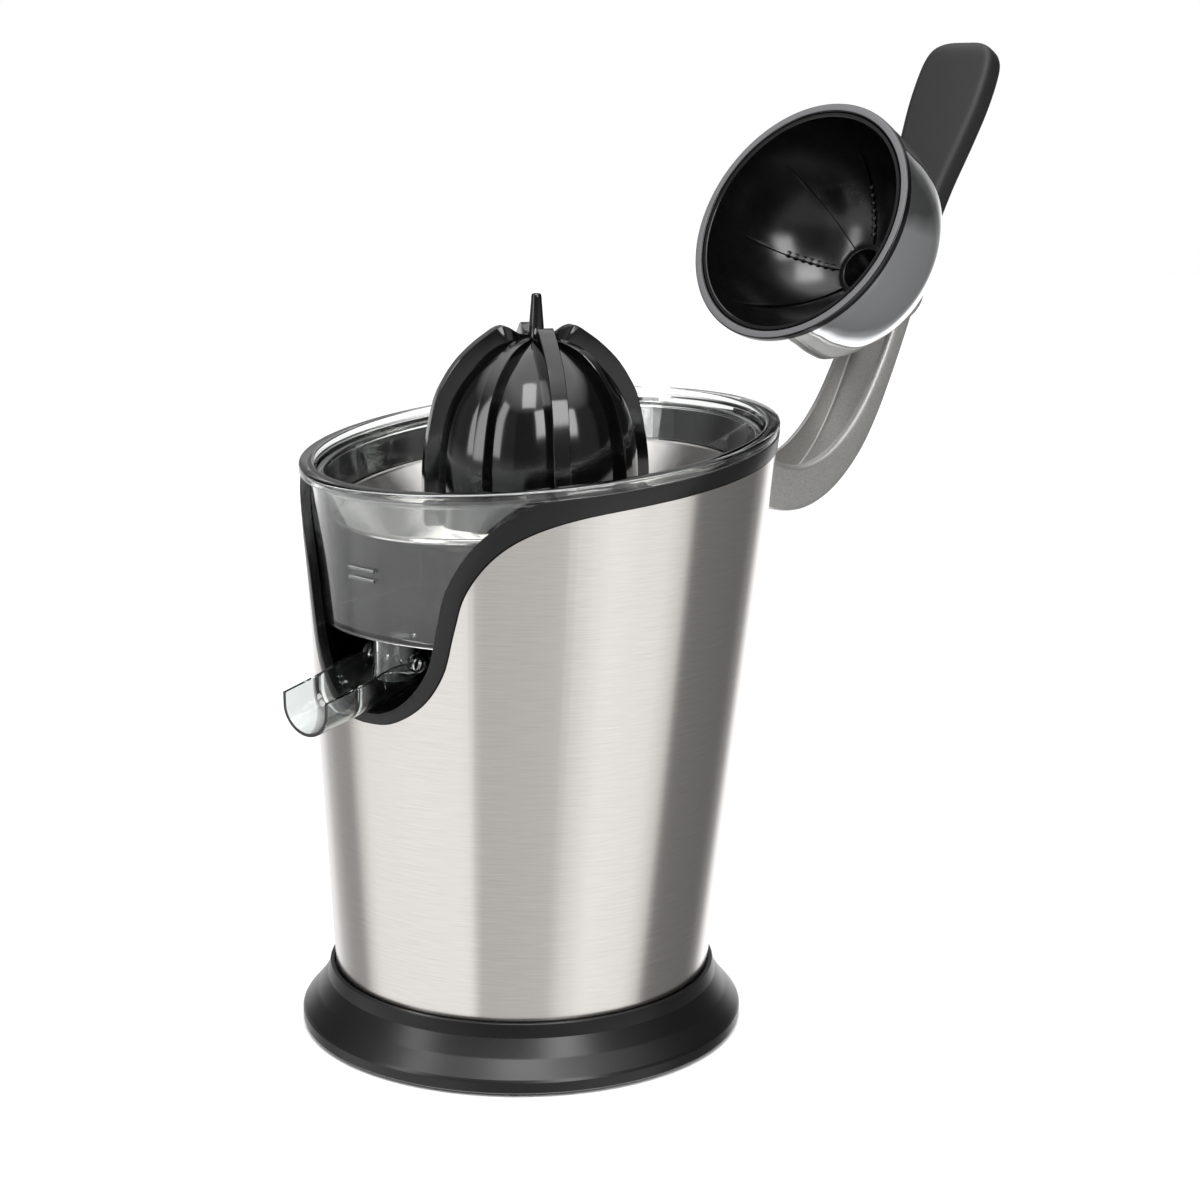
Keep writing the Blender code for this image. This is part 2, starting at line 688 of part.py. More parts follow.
# Two raised level lines on the front panel.
for number, level in enumerate((182, 185.5), 1):
    panel_y = wall_ring(3.6 * MM, level * MM, False)[3 * WALL_SEGMENTS // 4][1]
    box(
        f"level_line_{number}", (-7 * MM, panel_y - 0.9 * MM, level * MM),
        (7 * MM, panel_y - GAP, (level + 1) * MM), CLEAR, collector_lift,
    )

# ---------------------------------------------------------------- spout
spout_axis = empty("spout_axis", SPOUT_PIVOT, collector_lift)
SPOUT_INNER = 11.6 * MM
SPOUT_WALL = 1.6 * MM


def spout_section(along, drop, half, top):
    """One cross-section of the trough: a U with a flat top edge on each side."""
    outer, inner = [], []
    for step in range(9):
        turn = math.pi * (1 + step / 8)
        outer.append((half + SPOUT_WALL, turn))
        inner.append((half, turn))
    points = []
    for radius, turn in outer:
        points.append((radius * math.cos(turn), along, drop + radius * 0.8 * math.sin(turn)))
    for radius, turn in reversed(inner):
        points.append((radius * math.cos(turn), along, drop + radius * 0.8 * math.sin(turn)))
    for index in (0, -1, 8, 9):
        x, y, _ = points[index]
        points[index] = (x, y, top)
    return points


TROUGH_CENTRE = -1.1 * MM
SPOUT_STATIONS = ((11.5, 0, 1.5), (-10, 0, 1), (-24, 0.2, -3), (-41.5, 0.6, -7.2))
ring_solid(
    "spout",
    [
        spout_section(
            along * MM, TROUGH_CENTRE + along * MM * math.tan(SPOUT_FALL),
            SPOUT_INNER - narrower * MM, top * MM,
        )
        for along, narrower, top in SPOUT_STATIONS
    ],
    CLEAR, spout_axis, closed=False,
)
spout = bpy.data.objects["spout"]
pivot_hole = cylinder(
    "spout_pivot_hole", 2.8 * MM, (-20 * MM, 0, 0), (20 * MM, 0, 0), parent=spout_axis,
    collection=cutters, steps=16,
)
for side in (-1, 1):
    cheek = cylinder(
        f"spout_cheek_{side + 1}", 5 * MM, (side * SPOUT_INNER, 0, 0),
        (side * (SPOUT_INNER + SPOUT_WALL), 0, 0), parent=spout_axis, collection=cutters, steps=20,
    )
    boolean(spout, cheek, "UNION")
boolean(spout, pivot_hole)
bake(spout)

# ---------------------------------------------------------------- sieve
sieve_lift = empty("sieve_lift", (0, 0, 0), collector_lift)
SIEVE_THICKNESS = 0.8 * MM
sieve = ring_solid(
    "sieve",
    [
        wall_ring(6.2 * MM, SIEVE_RIM - 2 * MM),
        wall_ring(6.2 * MM, SIEVE_RIM),
        wall_ring(9 * MM, SIEVE_RIM),
        wall_ring(10.6 * MM, SIEVE_RIM - 10 * MM),
        circle(64 * MM, SIEVE_FLOOR + 3 * MM),
        circle(61 * MM, SIEVE_FLOOR + SIEVE_THICKNESS),
        circle(16 * MM, SIEVE_FLOOR + SIEVE_THICKNESS),
        circle(16 * MM, SIEVE_FLOOR),
        circle(61 * MM, SIEVE_FLOOR),
        circle(65 * MM, SIEVE_FLOOR + 2.4 * MM),
        wall_ring(9.8 * MM, SIEVE_RIM - 10.4 * MM),
        wall_ring(8.2 * MM, SIEVE_RIM - 2 * MM),
    ],
    BRIGHT, sieve_lift,
)
SLOTS = 12
slot = box(
    "sieve_slot", (24 * MM, -1.2 * MM, SIEVE_FLOOR - 3 * MM), (54 * MM, 1.2 * MM, SIEVE_FLOOR + 4 * MM),
    collection=cutters,
)
slots = bmesh.new()
for index in range(SLOTS):
    piece = slot.data.copy()
    piece.transform(
        Matrix.Translation((0, AXIS_Y, 0)) @ Matrix.Rotation(2 * math.pi * index / SLOTS, 4, "Z")
    )
    slots.from_mesh(piece)
slot_cutter = finish(slots, "sieve_slots", collection=cutters)
bake(boolean(sieve, slot_cutter))
turned(
    "sieve_hub",
    [
        (11.6 * MM, 196 * MM), (18.5 * MM, 196 * MM), (18.5 * MM, SIEVE_FLOOR + 1.1 * MM),
        (15.7 * MM, SIEVE_FLOOR + 1.1 * MM), (15.7 * MM, SIEVE_FLOOR - 1.5 * MM),
        (11.6 * MM, SIEVE_FLOOR - 1.5 * MM),
    ],
    GLOSS_BLACK, sieve_lift, steps=32,
)

# ---------------------------------------------------------------- reamer cone
cone_lift = empty("cone_lift", (0, 0, 0), drive_axis)
FIRST_FIN = math.radians(-30.5)
FIN_PROFILE = [
    (43.2, 199), (43.3, 213), (42, 225), (39, 239.5), (35, 248), (30.5, 254.5), (25, 260),
    (19.8, 264), (14, 267.2), (8, 264.2), (3.4, 264),
]
RIB_PROFILE = [
    (40.6, 199), (40.7, 213), (39.5, 225), (36.4, 238), (32.3, 246.2), (27.6, 252.4), (22, 257.5),
    (16.5, 260.4), (11, 262), (6.5, 262.8), (3.2, 263.2),
]
LOBE_PROFILE = [
    (37.2, 199), (37.3, 213), (36.3, 225), (33.6, 236.5), (29.8, 244.2), (25.2, 250.4), (20, 255),
    (15, 258.4), (10, 260.8), (6, 262.2), (3.2, 263),
]
FIN_HALF = 3.3
RIB_HALF = 2.6


def cone_ring(level):
    """A ring round the cone: fins and ribs stand out of eight rounded lobes."""
    points = []
    for quarter in range(4):
        middle = FIRST_FIN + quarter * math.pi / 2
        for offset, profile, half in ((0, FIN_PROFILE, FIN_HALF), (math.pi / 4, RIB_PROFILE, RIB_HALF)):
            radius, height = profile[level]
            base_radius, base_height = LOBE_PROFILE[level]
            spread = min(half, 0.7 * base_radius)
            top_turn = math.asin(min(0.32, 0.8 * spread / radius))
            foot_turn = math.asin(min(0.36, spread / base_radius))
            for at, far, up in (
                (-foot_turn, base_radius, base_height), (-top_turn, radius, height),
                (top_turn, radius, height), (foot_turn, base_radius, base_height),
            ):
                turn = middle + offset + at
                points.append((far * math.cos(turn) * MM, far * math.sin(turn) * MM, up * MM))
            turn = middle + offset + math.pi / 8
            far = base_radius * 1.03
            points.append((far * math.cos(turn) * MM, far * math.sin(turn) * MM, base_height * MM))
    return points


def cone_circle(radius, height):
    """A circle whose points line up with those of cone_ring."""
    aligned = [math.atan2(y, x) for x, y, _ in cone_ring(0)]
    return [(radius * MM * math.cos(turn), radius * MM * math.sin(turn), height * MM) for turn in aligned]


cone_rings = [
    cone_circle(5.2, 230.5), cone_circle(4.4, 227), cone_circle(4.4, 200.5), cone_circle(7.5, 200.5),
    cone_circle(7.5, 236), cone_circle(20, 236), cone_circle(31, 222), cone_circle(33.5, 199),
]
cone_rings += [cone_ring(level) for level in range(len(FIN_PROFILE))]
cone_rings += [cone_circle(2.9, 266), cone_circle(1.9, 278.4), cone_circle(1.4, 279)]
cone = ring_solid("cone", cone_rings, GLOSS_BLACK, cone_lift, closed=False)

# ---------------------------------------------------------------- lever
# The lever is drawn closed, from its hinge, and then swung back to its open stop.
lever = empty("lever", HINGE)
lever.rotation_euler.x = -OPEN_ANGLE
ARM_ROUTE = [
    (0, 0, 7.6), (5.4, 15, 8.2), (6.8, 30.2, 9.6), (3, 43.4, 9.4), (-4.2, 53.4, 8.8),
    (-14.2, 61.6, 7.8), (-27.8, 68, 6.8), (-42.6, 71.5, 5.8), (-58, 73, 5.1), (-74, 73.4, 4.8),
    (-99.5, 72.8, 4.8), (-122, 72, 4.8), (-133, 71.6, 4.8),
]
route = smooth_through(ARM_ROUTE, 3)


def offset_route(points, distance):
    """The route's points moved to its outer side, each as far as distance makes of its thickness."""
    moved = []
    for index, (y, z, half) in enumerate(points):
        before, after = points[max(index - 1, 0)], points[min(index + 1, len(points) - 1)]
        heading = Vector((after[0] - before[0], after[1] - before[1])).normalized()
        reach = distance(half)
        moved.append(((y + heading.y * reach) * MM, (z - heading.x * reach) * MM))
    return moved


outer_side = offset_route(route, lambda half: half)
inner_side = offset_route(route, lambda half: -half)
arm = plate("arm", outer_side + inner_side[::-1], ARM_HALF_WIDTH, SIDE_VIEW, CAST, lever)

barrel = cylinder(
    "arm_barrel", 8 * MM, (-ARM_HALF_WIDTH, 0, 0), (ARM_HALF_WIDTH, 0, 0), parent=lever,
    collection=cutters, steps=32,
)
ARM_UNDER = 67.2 * MM
boss = cylinder(
    "arm_boss", 12.5 * MM, (0, CAP_AXIS_Y, ARM_UNDER), (0, CAP_AXIS_Y, 83 * MM), parent=lever,
    collection=cutters, steps=32,
)
tongue = box(
    "arm_tongue", (-9 * MM, -176 * MM, 69.5 * MM), (9 * MM, -128 * MM, 74.5 * MM), parent=lever,
    collection=cutters,
)
POCKET_HALF_WIDTH = 10.8 * MM
POCKET_WEB = 2.6
pocket_route = route[8:28]
pocket = plate(
    "arm_pocket",
    offset_route(pocket_route, lambda half: half - POCKET_WEB)
    + offset_route(pocket_route, lambda half: -half - 6)[::-1],
    POCKET_HALF_WIDTH, SIDE_VIEW, parent=lever, collection=cutters,
)
bore = cylinder(
    "arm_bore", 3.3 * MM, (-20 * MM, 0, 0), (20 * MM, 0, 0), parent=lever, collection=cutters,
)
head_seat = cylinder(
    "screw_head_seat", 7.7 * MM, (0, CAP_AXIS_Y, 60 * MM), (0, CAP_AXIS_Y, 74 * MM), parent=lever,
    collection=cutters,
)
shank_hole = cylinder(
    "screw_shank_hole", 2.3 * MM, (0, CAP_AXIS_Y, 60 * MM), (0, CAP_AXIS_Y, 80 * MM), parent=lever,
    collection=cutters, steps=16,
)
for tool, operation in (
    (barrel, "UNION"), (boss, "UNION"), (tongue, "UNION"), (pocket, "DIFFERENCE"),
    (bore, "DIFFERENCE"), (head_seat, "DIFFERENCE"), (shank_hole, "DIFFERENCE"),
):
    boolean(arm, tool, operation)
bake(arm)
cylinder(
    "hinge_pin", 3 * MM, (-21 * MM, 0, 0), (21 * MM, 0, 0), BRIGHT, lever, steps=24,
)

# Grip: a flat paddle that swallows the arm's tongue.
GRIP_START, GRIP_END = -134, -216
grip_side = [
    (GRIP_START, 13.4), (-150, 14.6), (-168, 17), (-186, 18.8), (-202, 18.6), (-211, 15.5),
    (-215, 9), (GRIP_END, 0),
]
grip_half = smooth_through(grip_side, 3)
grip_outline = [(x * MM, y * MM) for y, x in grip_half]
grip_outline += [(-x * MM, y * MM) for y, x in reversed(grip_half[:-1])]
grip = plate("grip", grip_outline, 5.6 * MM, Matrix.Identity(4), SOFT_BLACK, lever)
grip.location.z = 72 * MM
grip_bevel = grip.modifiers.new("Bevel", "BEVEL")
grip_bevel.width = 2 * MM
grip_bevel.segments = 2
grip_bevel.limit_method = "ANGLE"
grip_bevel.angle_limit = math.radians(50)
socket = box(
    "grip_socket", (-9.3 * MM, -176.3 * MM, 69.2 * MM), (9.3 * MM, -120 * MM, 74.8 * MM),
    parent=lever, collection=cutters,
)
boolean(grip, socket)
for number, y in enumerate((-148, -164), 1):
    hole = cylinder(
        f"grip_screw_hole_{number}", 2.6 * MM, (0, y * MM, 74.6 * MM), (0, y * MM, 84 * MM),
        parent=lever, collection=cutters, steps=16,
    )
    boolean(grip, hole)
    cylinder(
        f"grip_screw_{number}", 2.3 * MM, (0, y * MM, 74.8 * MM), (0, y * MM, 77.2 * MM), BRIGHT,
        lever, steps=16,
    )
bake(grip)


# ---------------------------------------------------------------- press cap
CAP_STEPS = 36
CAP_BORE = 7.6
LINER_BORE = 10.8


def above_rim(profile):
    return [(radius * MM, CAP_RIM_Z + height * MM) for radius, height in profile]


turned(
    "cap_rim",
    above_rim([
        (49.4, 3.2), (52.4, 3.2), (CAP_RADIUS / MM, 2.6), (CAP_RADIUS / MM, 0.5), (52.5, 0), (49.9, 0),
        (49.4, 0.5),
    ]),
    GREY_RIM, lever, CAP_AXIS_Y, CAP_STEPS,
)
BOWL_RADIUS, BOWL_DEPTH = 47.2, 52
LINER_WALL = 1.8
BOWL_TURNS = [math.radians(turn) for turn in (0, 14, 28, 42, 54, 64, 74)]
bowl_outer = [
    ((BOWL_RADIUS + LINER_WALL) * math.cos(turn), (BOWL_DEPTH + LINER_WALL) * math.sin(turn))
    for turn in reversed(BOWL_TURNS)
]
bowl_inner = [(BOWL_RADIUS * math.cos(turn), BOWL_DEPTH * math.sin(turn)) for turn in BOWL_TURNS]
turned(
    "cap_liner",
    above_rim(
        [(LINER_BORE, 52.5), *bowl_outer[:-1], (49, 3.5), (49, 0.5), (47.2, 0.5), *bowl_inner[1:]]
        + [(LINER_BORE, 49.9)]
    ),
    GLOSS_BLACK, lever, CAP_AXIS_Y, CAP_STEPS,
)
turned(
    "cap_shell",
    above_rim([
        (CAP_BORE, 56.6), (20, 56.6), (31, 52.5), (40, 45.5), (46.6, 37), (49.4, 31), (51.6, 20),
        (52.7, 8), (52.7, 3.5), (51.3, 3.5), (51.2, 9), (50.2, 19.8), (48, 30.4), (45.5, 35.8),
        (39.2, 44.4), (30.4, 51.2), (20, 55.2), (CAP_BORE, 55.2),
    ]),
    CHROME, lever, CAP_AXIS_Y, CAP_STEPS,
)
# The screw holds the bush by a lip inside its top, and the bush's flange holds the liner. The
# bush flares downwards so that the cone's spike enters it as the lever swings down.
turned(
    "cap_bush",
    above_rim([
        (2.4, 69.7), (7.2, 69.7), (7.2, 54.6), (10.4, 54.2), (10.4, 49.6), (11.8, 49.6), (11.8, 48.2),
        (9.2, 48.2), (5.4, 55.8), (5.4, 68.2), (2.4, 68.2),
    ]),
    GLOSS_BLACK, lever, CAP_AXIS_Y, 24,
)
SPACER_LOW = CAP_RIM_Z + 56.9 * MM
tube("cap_spacer", CAP_BORE * MM, 12 * MM, SPACER_LOW, ARM_UNDER - GAP, CAST, lever, CAP_AXIS_Y)
turned(
    "cap_screw",
    [
        (0, 79.5 * MM), (2 * MM, 79.5 * MM), (2 * MM, 71.9 * MM), (4.4 * MM, 71.9 * MM),
        (4.4 * MM, 69 * MM), (0, 69 * MM),
    ],
    BRIGHT, lever, CAP_AXIS_Y, 20,
)
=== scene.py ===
# %% [markdown]
# # A lever citrus press
# The press is a motor base wrapped in brushed steel, with a clear juice collector, a steel sieve
# and a black reamer cone on top. A cast arm swings a chrome cap down over the fruit.
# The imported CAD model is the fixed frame: every piece made here takes its place from it and
# rides on one of its bodies, so that it moves as the real one does.

# %% Load the frame
import json
import math

import bmesh
import bpy
from mathutils import Matrix, Vector


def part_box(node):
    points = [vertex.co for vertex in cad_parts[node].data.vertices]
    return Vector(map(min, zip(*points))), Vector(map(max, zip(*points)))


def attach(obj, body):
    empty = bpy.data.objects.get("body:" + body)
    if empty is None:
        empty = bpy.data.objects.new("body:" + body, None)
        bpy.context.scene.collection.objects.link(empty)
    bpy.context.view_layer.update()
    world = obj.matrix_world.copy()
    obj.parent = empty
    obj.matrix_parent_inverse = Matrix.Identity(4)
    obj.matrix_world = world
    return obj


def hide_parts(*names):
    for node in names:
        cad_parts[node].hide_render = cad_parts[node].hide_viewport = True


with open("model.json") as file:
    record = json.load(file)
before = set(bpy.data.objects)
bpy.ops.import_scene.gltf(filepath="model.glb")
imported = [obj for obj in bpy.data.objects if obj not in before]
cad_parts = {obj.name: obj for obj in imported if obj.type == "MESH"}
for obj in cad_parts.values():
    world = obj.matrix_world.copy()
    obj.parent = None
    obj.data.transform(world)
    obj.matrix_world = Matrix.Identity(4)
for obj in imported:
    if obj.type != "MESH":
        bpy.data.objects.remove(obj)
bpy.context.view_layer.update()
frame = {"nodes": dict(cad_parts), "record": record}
MM = 0.001
JOINTS = {joint["name"]: joint for joint in frame["record"]["behaviour"]["joints"]}

# %% [markdown]
# ## The driving sizes
# The housing is not a plain cone. Its foot is round, its rim is a slightly longer oval that leans
# forward, and straight lines join the two. All wall pieces are rings on that one surface, set in
# by a wall's depth, so the cladding, the trim and the collector nest without any fitting.

# %% Sizes of the wall, the drive axis and the lever
FOOT_RADIUS = 72 * MM
FOOT_Z = 22 * MM
RIM_HALF_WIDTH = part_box("collector")[1].x
RIM_HALF_DEPTH = 91.8 * MM
RIM_CENTRE_Y = 9.7 * MM
RIM_Z = 224.6 * MM
RIM_SLOPE = math.tan(math.radians(6.3))
STEEL_TOP = 214.5 * MM
TRIM_TOP = 220.6 * MM
CLADDING_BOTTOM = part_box("steel_housing")[0].z

shaft_low, shaft_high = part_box("drive_shaft")
AXIS_Y = (shaft_low.y + shaft_high.y) / 2
HINGE = Vector(JOINTS["lever_hinge"]["pos_m"])
OPEN_TURN = math.radians(JOINTS["lever_hinge"]["range_deg"][0])
LEVER = Matrix.Translation(HINGE) @ Matrix.Rotation(OPEN_TURN, 4, "X")
SPOUT_PIVOT = Vector(JOINTS["spout_tilt"]["pos_m"])
print("drive axis at y =", round(AXIS_Y, 4), "and hinge at", tuple(HINGE))

# %% [markdown]
# ## The camera, the light and the floor
# Bright metal is best shown in a light tent: broad pale walls with grey gaps between them. Curved
# metal shows those walls as upright bands. The tent here is the world itself, a ramp
# of greys by compass direction, with a bright ceiling. The floor is plain and pale.

# %% Camera
camera_data = bpy.data.cameras.new("camera")
camera_data.lens = 69.65
camera = bpy.data.objects.new("camera", camera_data)
bpy.context.scene.collection.objects.link(camera)
camera.location = (0.62857, -0.58688, 0.34459)
camera.rotation_euler = (math.radians(90 - 11.86), math.radians(-0.37), math.radians(45.07))
bpy.context.scene.camera = camera


# %% A helper that adds one shader node
def node(tree, kind, inputs=None, **settings):
    """Add a node, set its properties, and give each named input a value or another's output."""
    made = tree.nodes.new("ShaderNode" + kind)
    for name, value in settings.items():
        setattr(made, name, value)
    for name, value in (inputs or {}).items():
        if isinstance(value, bpy.types.NodeSocket):
            tree.links.new(value, made.inputs[name])
        else:
            made.inputs[name].default_value = value
    return made


# %% The light tent
# Compass direction in degrees from +X, and how bright the tent is there.
TENT = (
    (-180, 0.55), (-173, 0.42), (-157, 0.38), (-151, 0.85), (-142, 1.15), (-74, 1.2), (-69.5, 0.58),
    (-66, 0.66), (-27, 0.7), (-20, 0.95), (-4, 1.22), (24, 1.16), (36, 0.9), (39.5, 0.24), (84, 0.18),
    (95, 0.35), (106, 1.4), (131, 1.4), (140, 1.2), (165, 1.0), (175, 0.6),
)
TENT_STRENGTH = 1.0
UPPER_WALLS = 0.3
CEILING = 2.6
world = bpy.data.worlds.new("light_tent")
world.use_nodes = True
bpy.context.scene.world = world
tent = world.node_tree
tent.nodes.clear()
direction = node(tent, "SeparateXYZ", {0: node(tent, "TexCoord").outputs["Generated"]})
compass = node(
    tent, "Math", {0: direction.outputs["Y"], 1: direction.outputs["X"]}, operation="ARCTAN2",
)
share = node(
    tent, "MapRange", {"Value": compass.outputs[0], "From Min": -math.pi, "From Max": math.pi},
)
walls = node(tent, "ValToRGB", {"Fac": share.outputs[0]})
ramp = walls.color_ramp.elements
for index, (degrees, grey) in enumerate(TENT):
    stop = ramp[index] if index < 1 else ramp.new((degrees + 180) / 360)
    stop.position = (degrees + 180) / 360
    stop.color = (grey, grey, grey, 1)
ramp[-1].color = (TENT[-1][1],) * 3 + (1,)
level = direction.outputs["Z"]
rise = node(tent, "MapRange", {"Value": level, "From Min": -0.05, "From Max": 0.1})
top = node(tent, "MapRange", {"Value": level, "From Min": 0.62, "From Max": 0.85})
dimmed = node(
    tent, "MixRGB", {"Fac": 1.0, "Color1": walls.outputs[0], "Color2": (UPPER_WALLS,) * 3 + (1,)},
    blend_type="MULTIPLY",
)
upper = node(
    tent, "MixRGB", {"Fac": rise.outputs[0], "Color1": walls.outputs[0], "Color2": dimmed.outputs[0]},
)
overhead = node(
    tent, "MixRGB", {"Fac": top.outputs[0], "Color1": upper.outputs[0], "Color2": (CEILING,) * 3 + (1,)},
)
lit = node(tent, "Background", {"Color": overhead.outputs[0], "Strength": TENT_STRENGTH})
BACKDROP = 1.0
plain = node(tent, "Background", {"Color": (1, 1, 1, 1), "Strength": BACKDROP})
seen = node(
    tent, "MixShader",
    {0: node(tent, "LightPath").outputs["Is Camera Ray"], 1: lit.outputs[0], 2: plain.outputs[0]},
)
node(tent, "OutputWorld", {"Surface": seen.outputs[0]})

# %% Soft boxes and floor
LAMPS = (  # place, width, height and power
    ("key_strip", (-0.32, -1.1, 0.72), 0.3, 0.9, 5),
    ("top_softbox", (0.42, -0.4, 1.2), 0.5, 0.5, 6.5),
    ("side_softbox", (1.15, -0.37, 0.9), 0.45, 0.6, 8),
)
AIM = Vector((0, 0, 0.2))
for name, place, width, tall, power in LAMPS:
    lamp_data = bpy.data.lights.new(name, "AREA")
    lamp_data.shape = "RECTANGLE"
    lamp_data.size = width
    lamp_data.size_y = tall
    lamp_data.energy = power
    lamp = bpy.data.objects.new(name, lamp_data)
    lamp.location = place
    lamp.rotation_euler = (AIM - lamp.location).to_track_quat("-Z", "Y").to_euler()
    bpy.context.scene.collection.objects.link(lamp)

bpy.ops.object.select_all(action="DESELECT")
bpy.ops.mesh.primitive_plane_add(size=8)
floor = bpy.context.object
floor.name = "floor"
floor.visible_glossy = False  # metal mirrors the tent's walls, which run on below the table
bpy.context.scene.view_settings.view_transform = "Standard"


# %% [markdown]
# ## Finishes
# Each finish starts from what the material is and how its surface was made. Colours are written as
# sRGB hex values. Patterns use object coordinates, in metres, so a grain of 0.5 mm has a scale of
# about one over 0.0005.

# %% Helpers for colours and blank materials
def linear(code):
    """The linear colour of an sRGB hex value."""
    shares = [int(code[at:at + 2], 16) / 255 for at in (0, 2, 4)]
    return tuple(v / 12.92 if v <= 0.04045 else ((v + 0.055) / 1.055) ** 2.4 for v in shares) + (1,)


def blank(name):
    """A new material, its node tree, its Principled shader and the object coordinates."""
    made = bpy.data.materials.new(name)
    made.use_nodes = True
    tree = made.node_tree
    return made, tree, tree.nodes["Principled BSDF"], node(tree, "TexCoord").outputs["Object"]


def grain(tree, place, size, stretch=(1, 1, 1), detail=3):
    """Noise whose spots are about size across, stretched along an axis by less than 1."""
    mapped = node(tree, "Mapping", {"Vector": place, "Scale": stretch})
    return node(
        tree, "TexNoise", {"Vector": mapped.outputs[0], "Scale": 1 / size, "Detail": detail},
    ).outputs["Fac"]


def vary(tree, shader, fac, dark, light, low, high, bump=0.0, depth=0.05 * MM):
    """Let a pattern drive colour and roughness between two ends, and raise a slight relief."""
    tint = node(tree, "MixRGB", {"Fac": fac, "Color1": linear(dark), "Color2": linear(light)})
    rough = node(tree, "MapRange", {"Value": fac, "To Min": low, "To Max": high})
    tree.links.new(tint.outputs[0], shader.inputs["Base Color"])
    tree.links.new(rough.outputs[0], shader.inputs["Roughness"])
    if bump:
        relief = node(tree, "Bump", {"Height": fac, "Strength": bump, "Distance": depth})
        tree.links.new(relief.outputs[0], shader.inputs["Normal"])


# %% Metals
def brushed_stainless():
    """Stainless sheet, belt-brushed round the body: fine level lines that blur what it mirrors."""
    made, tree, shader, place = blank("brushed_stainless")
    line = grain(tree, place, 0.22 * MM, (0.02, 0.02, 1), 4)  # real lines are near 0.1 mm
    vary(tree, shader, line, "C8C4BF", "E0DCD8", 0.16, 0.23, 0.14, 0.01 * MM)
    shader.inputs["Metallic"].default_value = 1.0
    shader.inputs["Anisotropic"].default_value = 0.75
    shader.inputs["Anisotropic Rotation"].default_value = 0.25  # mirrors spread across the lines
    around = node(tree, "Tangent", direction_type="RADIAL", axis="Z")
    tree.links.new(around.outputs[0], shader.inputs["Tangent"])
    return made


def polished_stainless():
    """Drawn and buffed stainless: bright, with faint long buffing marks."""
    made, tree, shader, place = blank("polished_stainless")
    vary(tree, shader, grain(tree, place, 4 * MM, (1, 1, 0.2)), "D3D1CE", "E4E2DF", 0.12, 0.2)
    shader.inputs["Metallic"].default_value = 1.0
    return made


def chrome_plate():
    """Bright chrome plate on a spun shell: a mirror with the least waviness."""
    made, tree, shader, place = blank("chrome_plate")
    vary(tree, shader, grain(tree, place, 25 * MM), "E6E7E9", "F1F2F4", 0.03, 0.06, 0.05)
    shader.inputs["Metallic"].default_value = 1.0
    return made


def blasted_aluminium():
    """Die-cast aluminium, bead blasted and silver lacquered: an even sparkle with no mirror."""
    made, tree, shader, place = blank("blasted_aluminium")
    vary(tree, shader, grain(tree, place, 0.55 * MM, detail=2), "8C8B89", "CFCECB", 0.36, 0.55, 0.45)
    shader.inputs["Metallic"].default_value = 0.85
    return made


def plain_metal(name, dark, light, rough):
    """A turned or stamped metal with tool marks about a millimetre apart."""
    made, tree, shader, place = blank(name)
    vary(tree, shader, grain(tree, place, 1 * MM, (1, 1, 0.3)), dark, light, rough, rough + 0.12, 0.1)
    shader.inputs["Metallic"].default_value = 1.0
    return made


# %% Plastics and rubber
def moulded_plastic(name, dark, light, rough, spots, bump, shine=0.5):
    """Injection-moulded ABS: the tool's spark-eroded or polished skin sets its gloss."""
    made, tree, shader, place = blank(name)
    vary(tree, shader, grain(tree, place, spots), dark, light, rough, rough + 0.08, bump)
    shader.inputs["Specular IOR Level"].default_value = shine
    return made


def clear_styrene(name, dark, light):
    """Clear SAN, a stiff glassy plastic: faint flow marks, and bright lines where it is thick."""
    made, tree, shader, place = blank(name)
    vary(tree, shader, grain(tree, place, 30 * MM), dark, light, 0.015, 0.05, 0.06)
    shader.inputs["Transmission Weight"].default_value = 1.0
    shader.inputs["IOR"].default_value = 1.5
    return made


STAINLESS = brushed_stainless()
BRIGHT = polished_stainless()
CHROME = chrome_plate()
CAST = blasted_aluminium()
SCREW = plain_metal("zinc_plated_steel", "A9ABAD", "D0D2D4", 0.2)
BRONZE = plain_metal("sintered_bronze", "8A6236", "B08850", 0.32)
COPPER = plain_metal("wound_copper", "7C3F1E", "B56A38", 0.3)
CLEAR = clear_styrene("clear_styrene", "EDEFEE", "F6F7F6")
# The spout is the same clear styrene as the collector, tinted darker here: the grey tint is painted
# shade standing in for the dark reflections inside its trough.
CLEAR_SPOUT_PAINTED_SHADE = clear_styrene("clear_styrene_spout_painted_shade", "BFC4C3", "D2D6D5")
SATIN_ABS = moulded_plastic("satin_black_abs", "060606", "131314", 0.26, 0.6 * MM, 0.35, 0.38)
GLOSS_ABS = moulded_plastic("gloss_black_abs", "040405", "080809", 0.07, 20 * MM, 0.03)
BOWL_ABS = moulded_plastic("semi_gloss_black_abs", "040405", "0A0A0B", 0.17, 6 * MM, 0.08)
RIM_ABS = moulded_plastic("satin_grey_rim", "565658", "666668", 0.34, 0.5 * MM, 0.1)
SOFT_GRIP = moulded_plastic("soft_touch_elastomer", "101011", "181819", 0.5, 0.4 * MM, 0.25, 0.4)
RUBBER = moulded_plastic("moulded_rubber", "121212", "1C1C1C", 0.7, 0.5 * MM, 0.3)
ACETAL = moulded_plastic("natural_acetal", "D8D4C8", "E6E3D8", 0.35, 2 * MM, 0.05)
FLOOR_PAINT = moulded_plastic("pale_floor", "F4F4F4", "FAFAFA", 0.5, 30 * MM, 0.0)
floor.data.materials.append(FLOOR_PAINT)

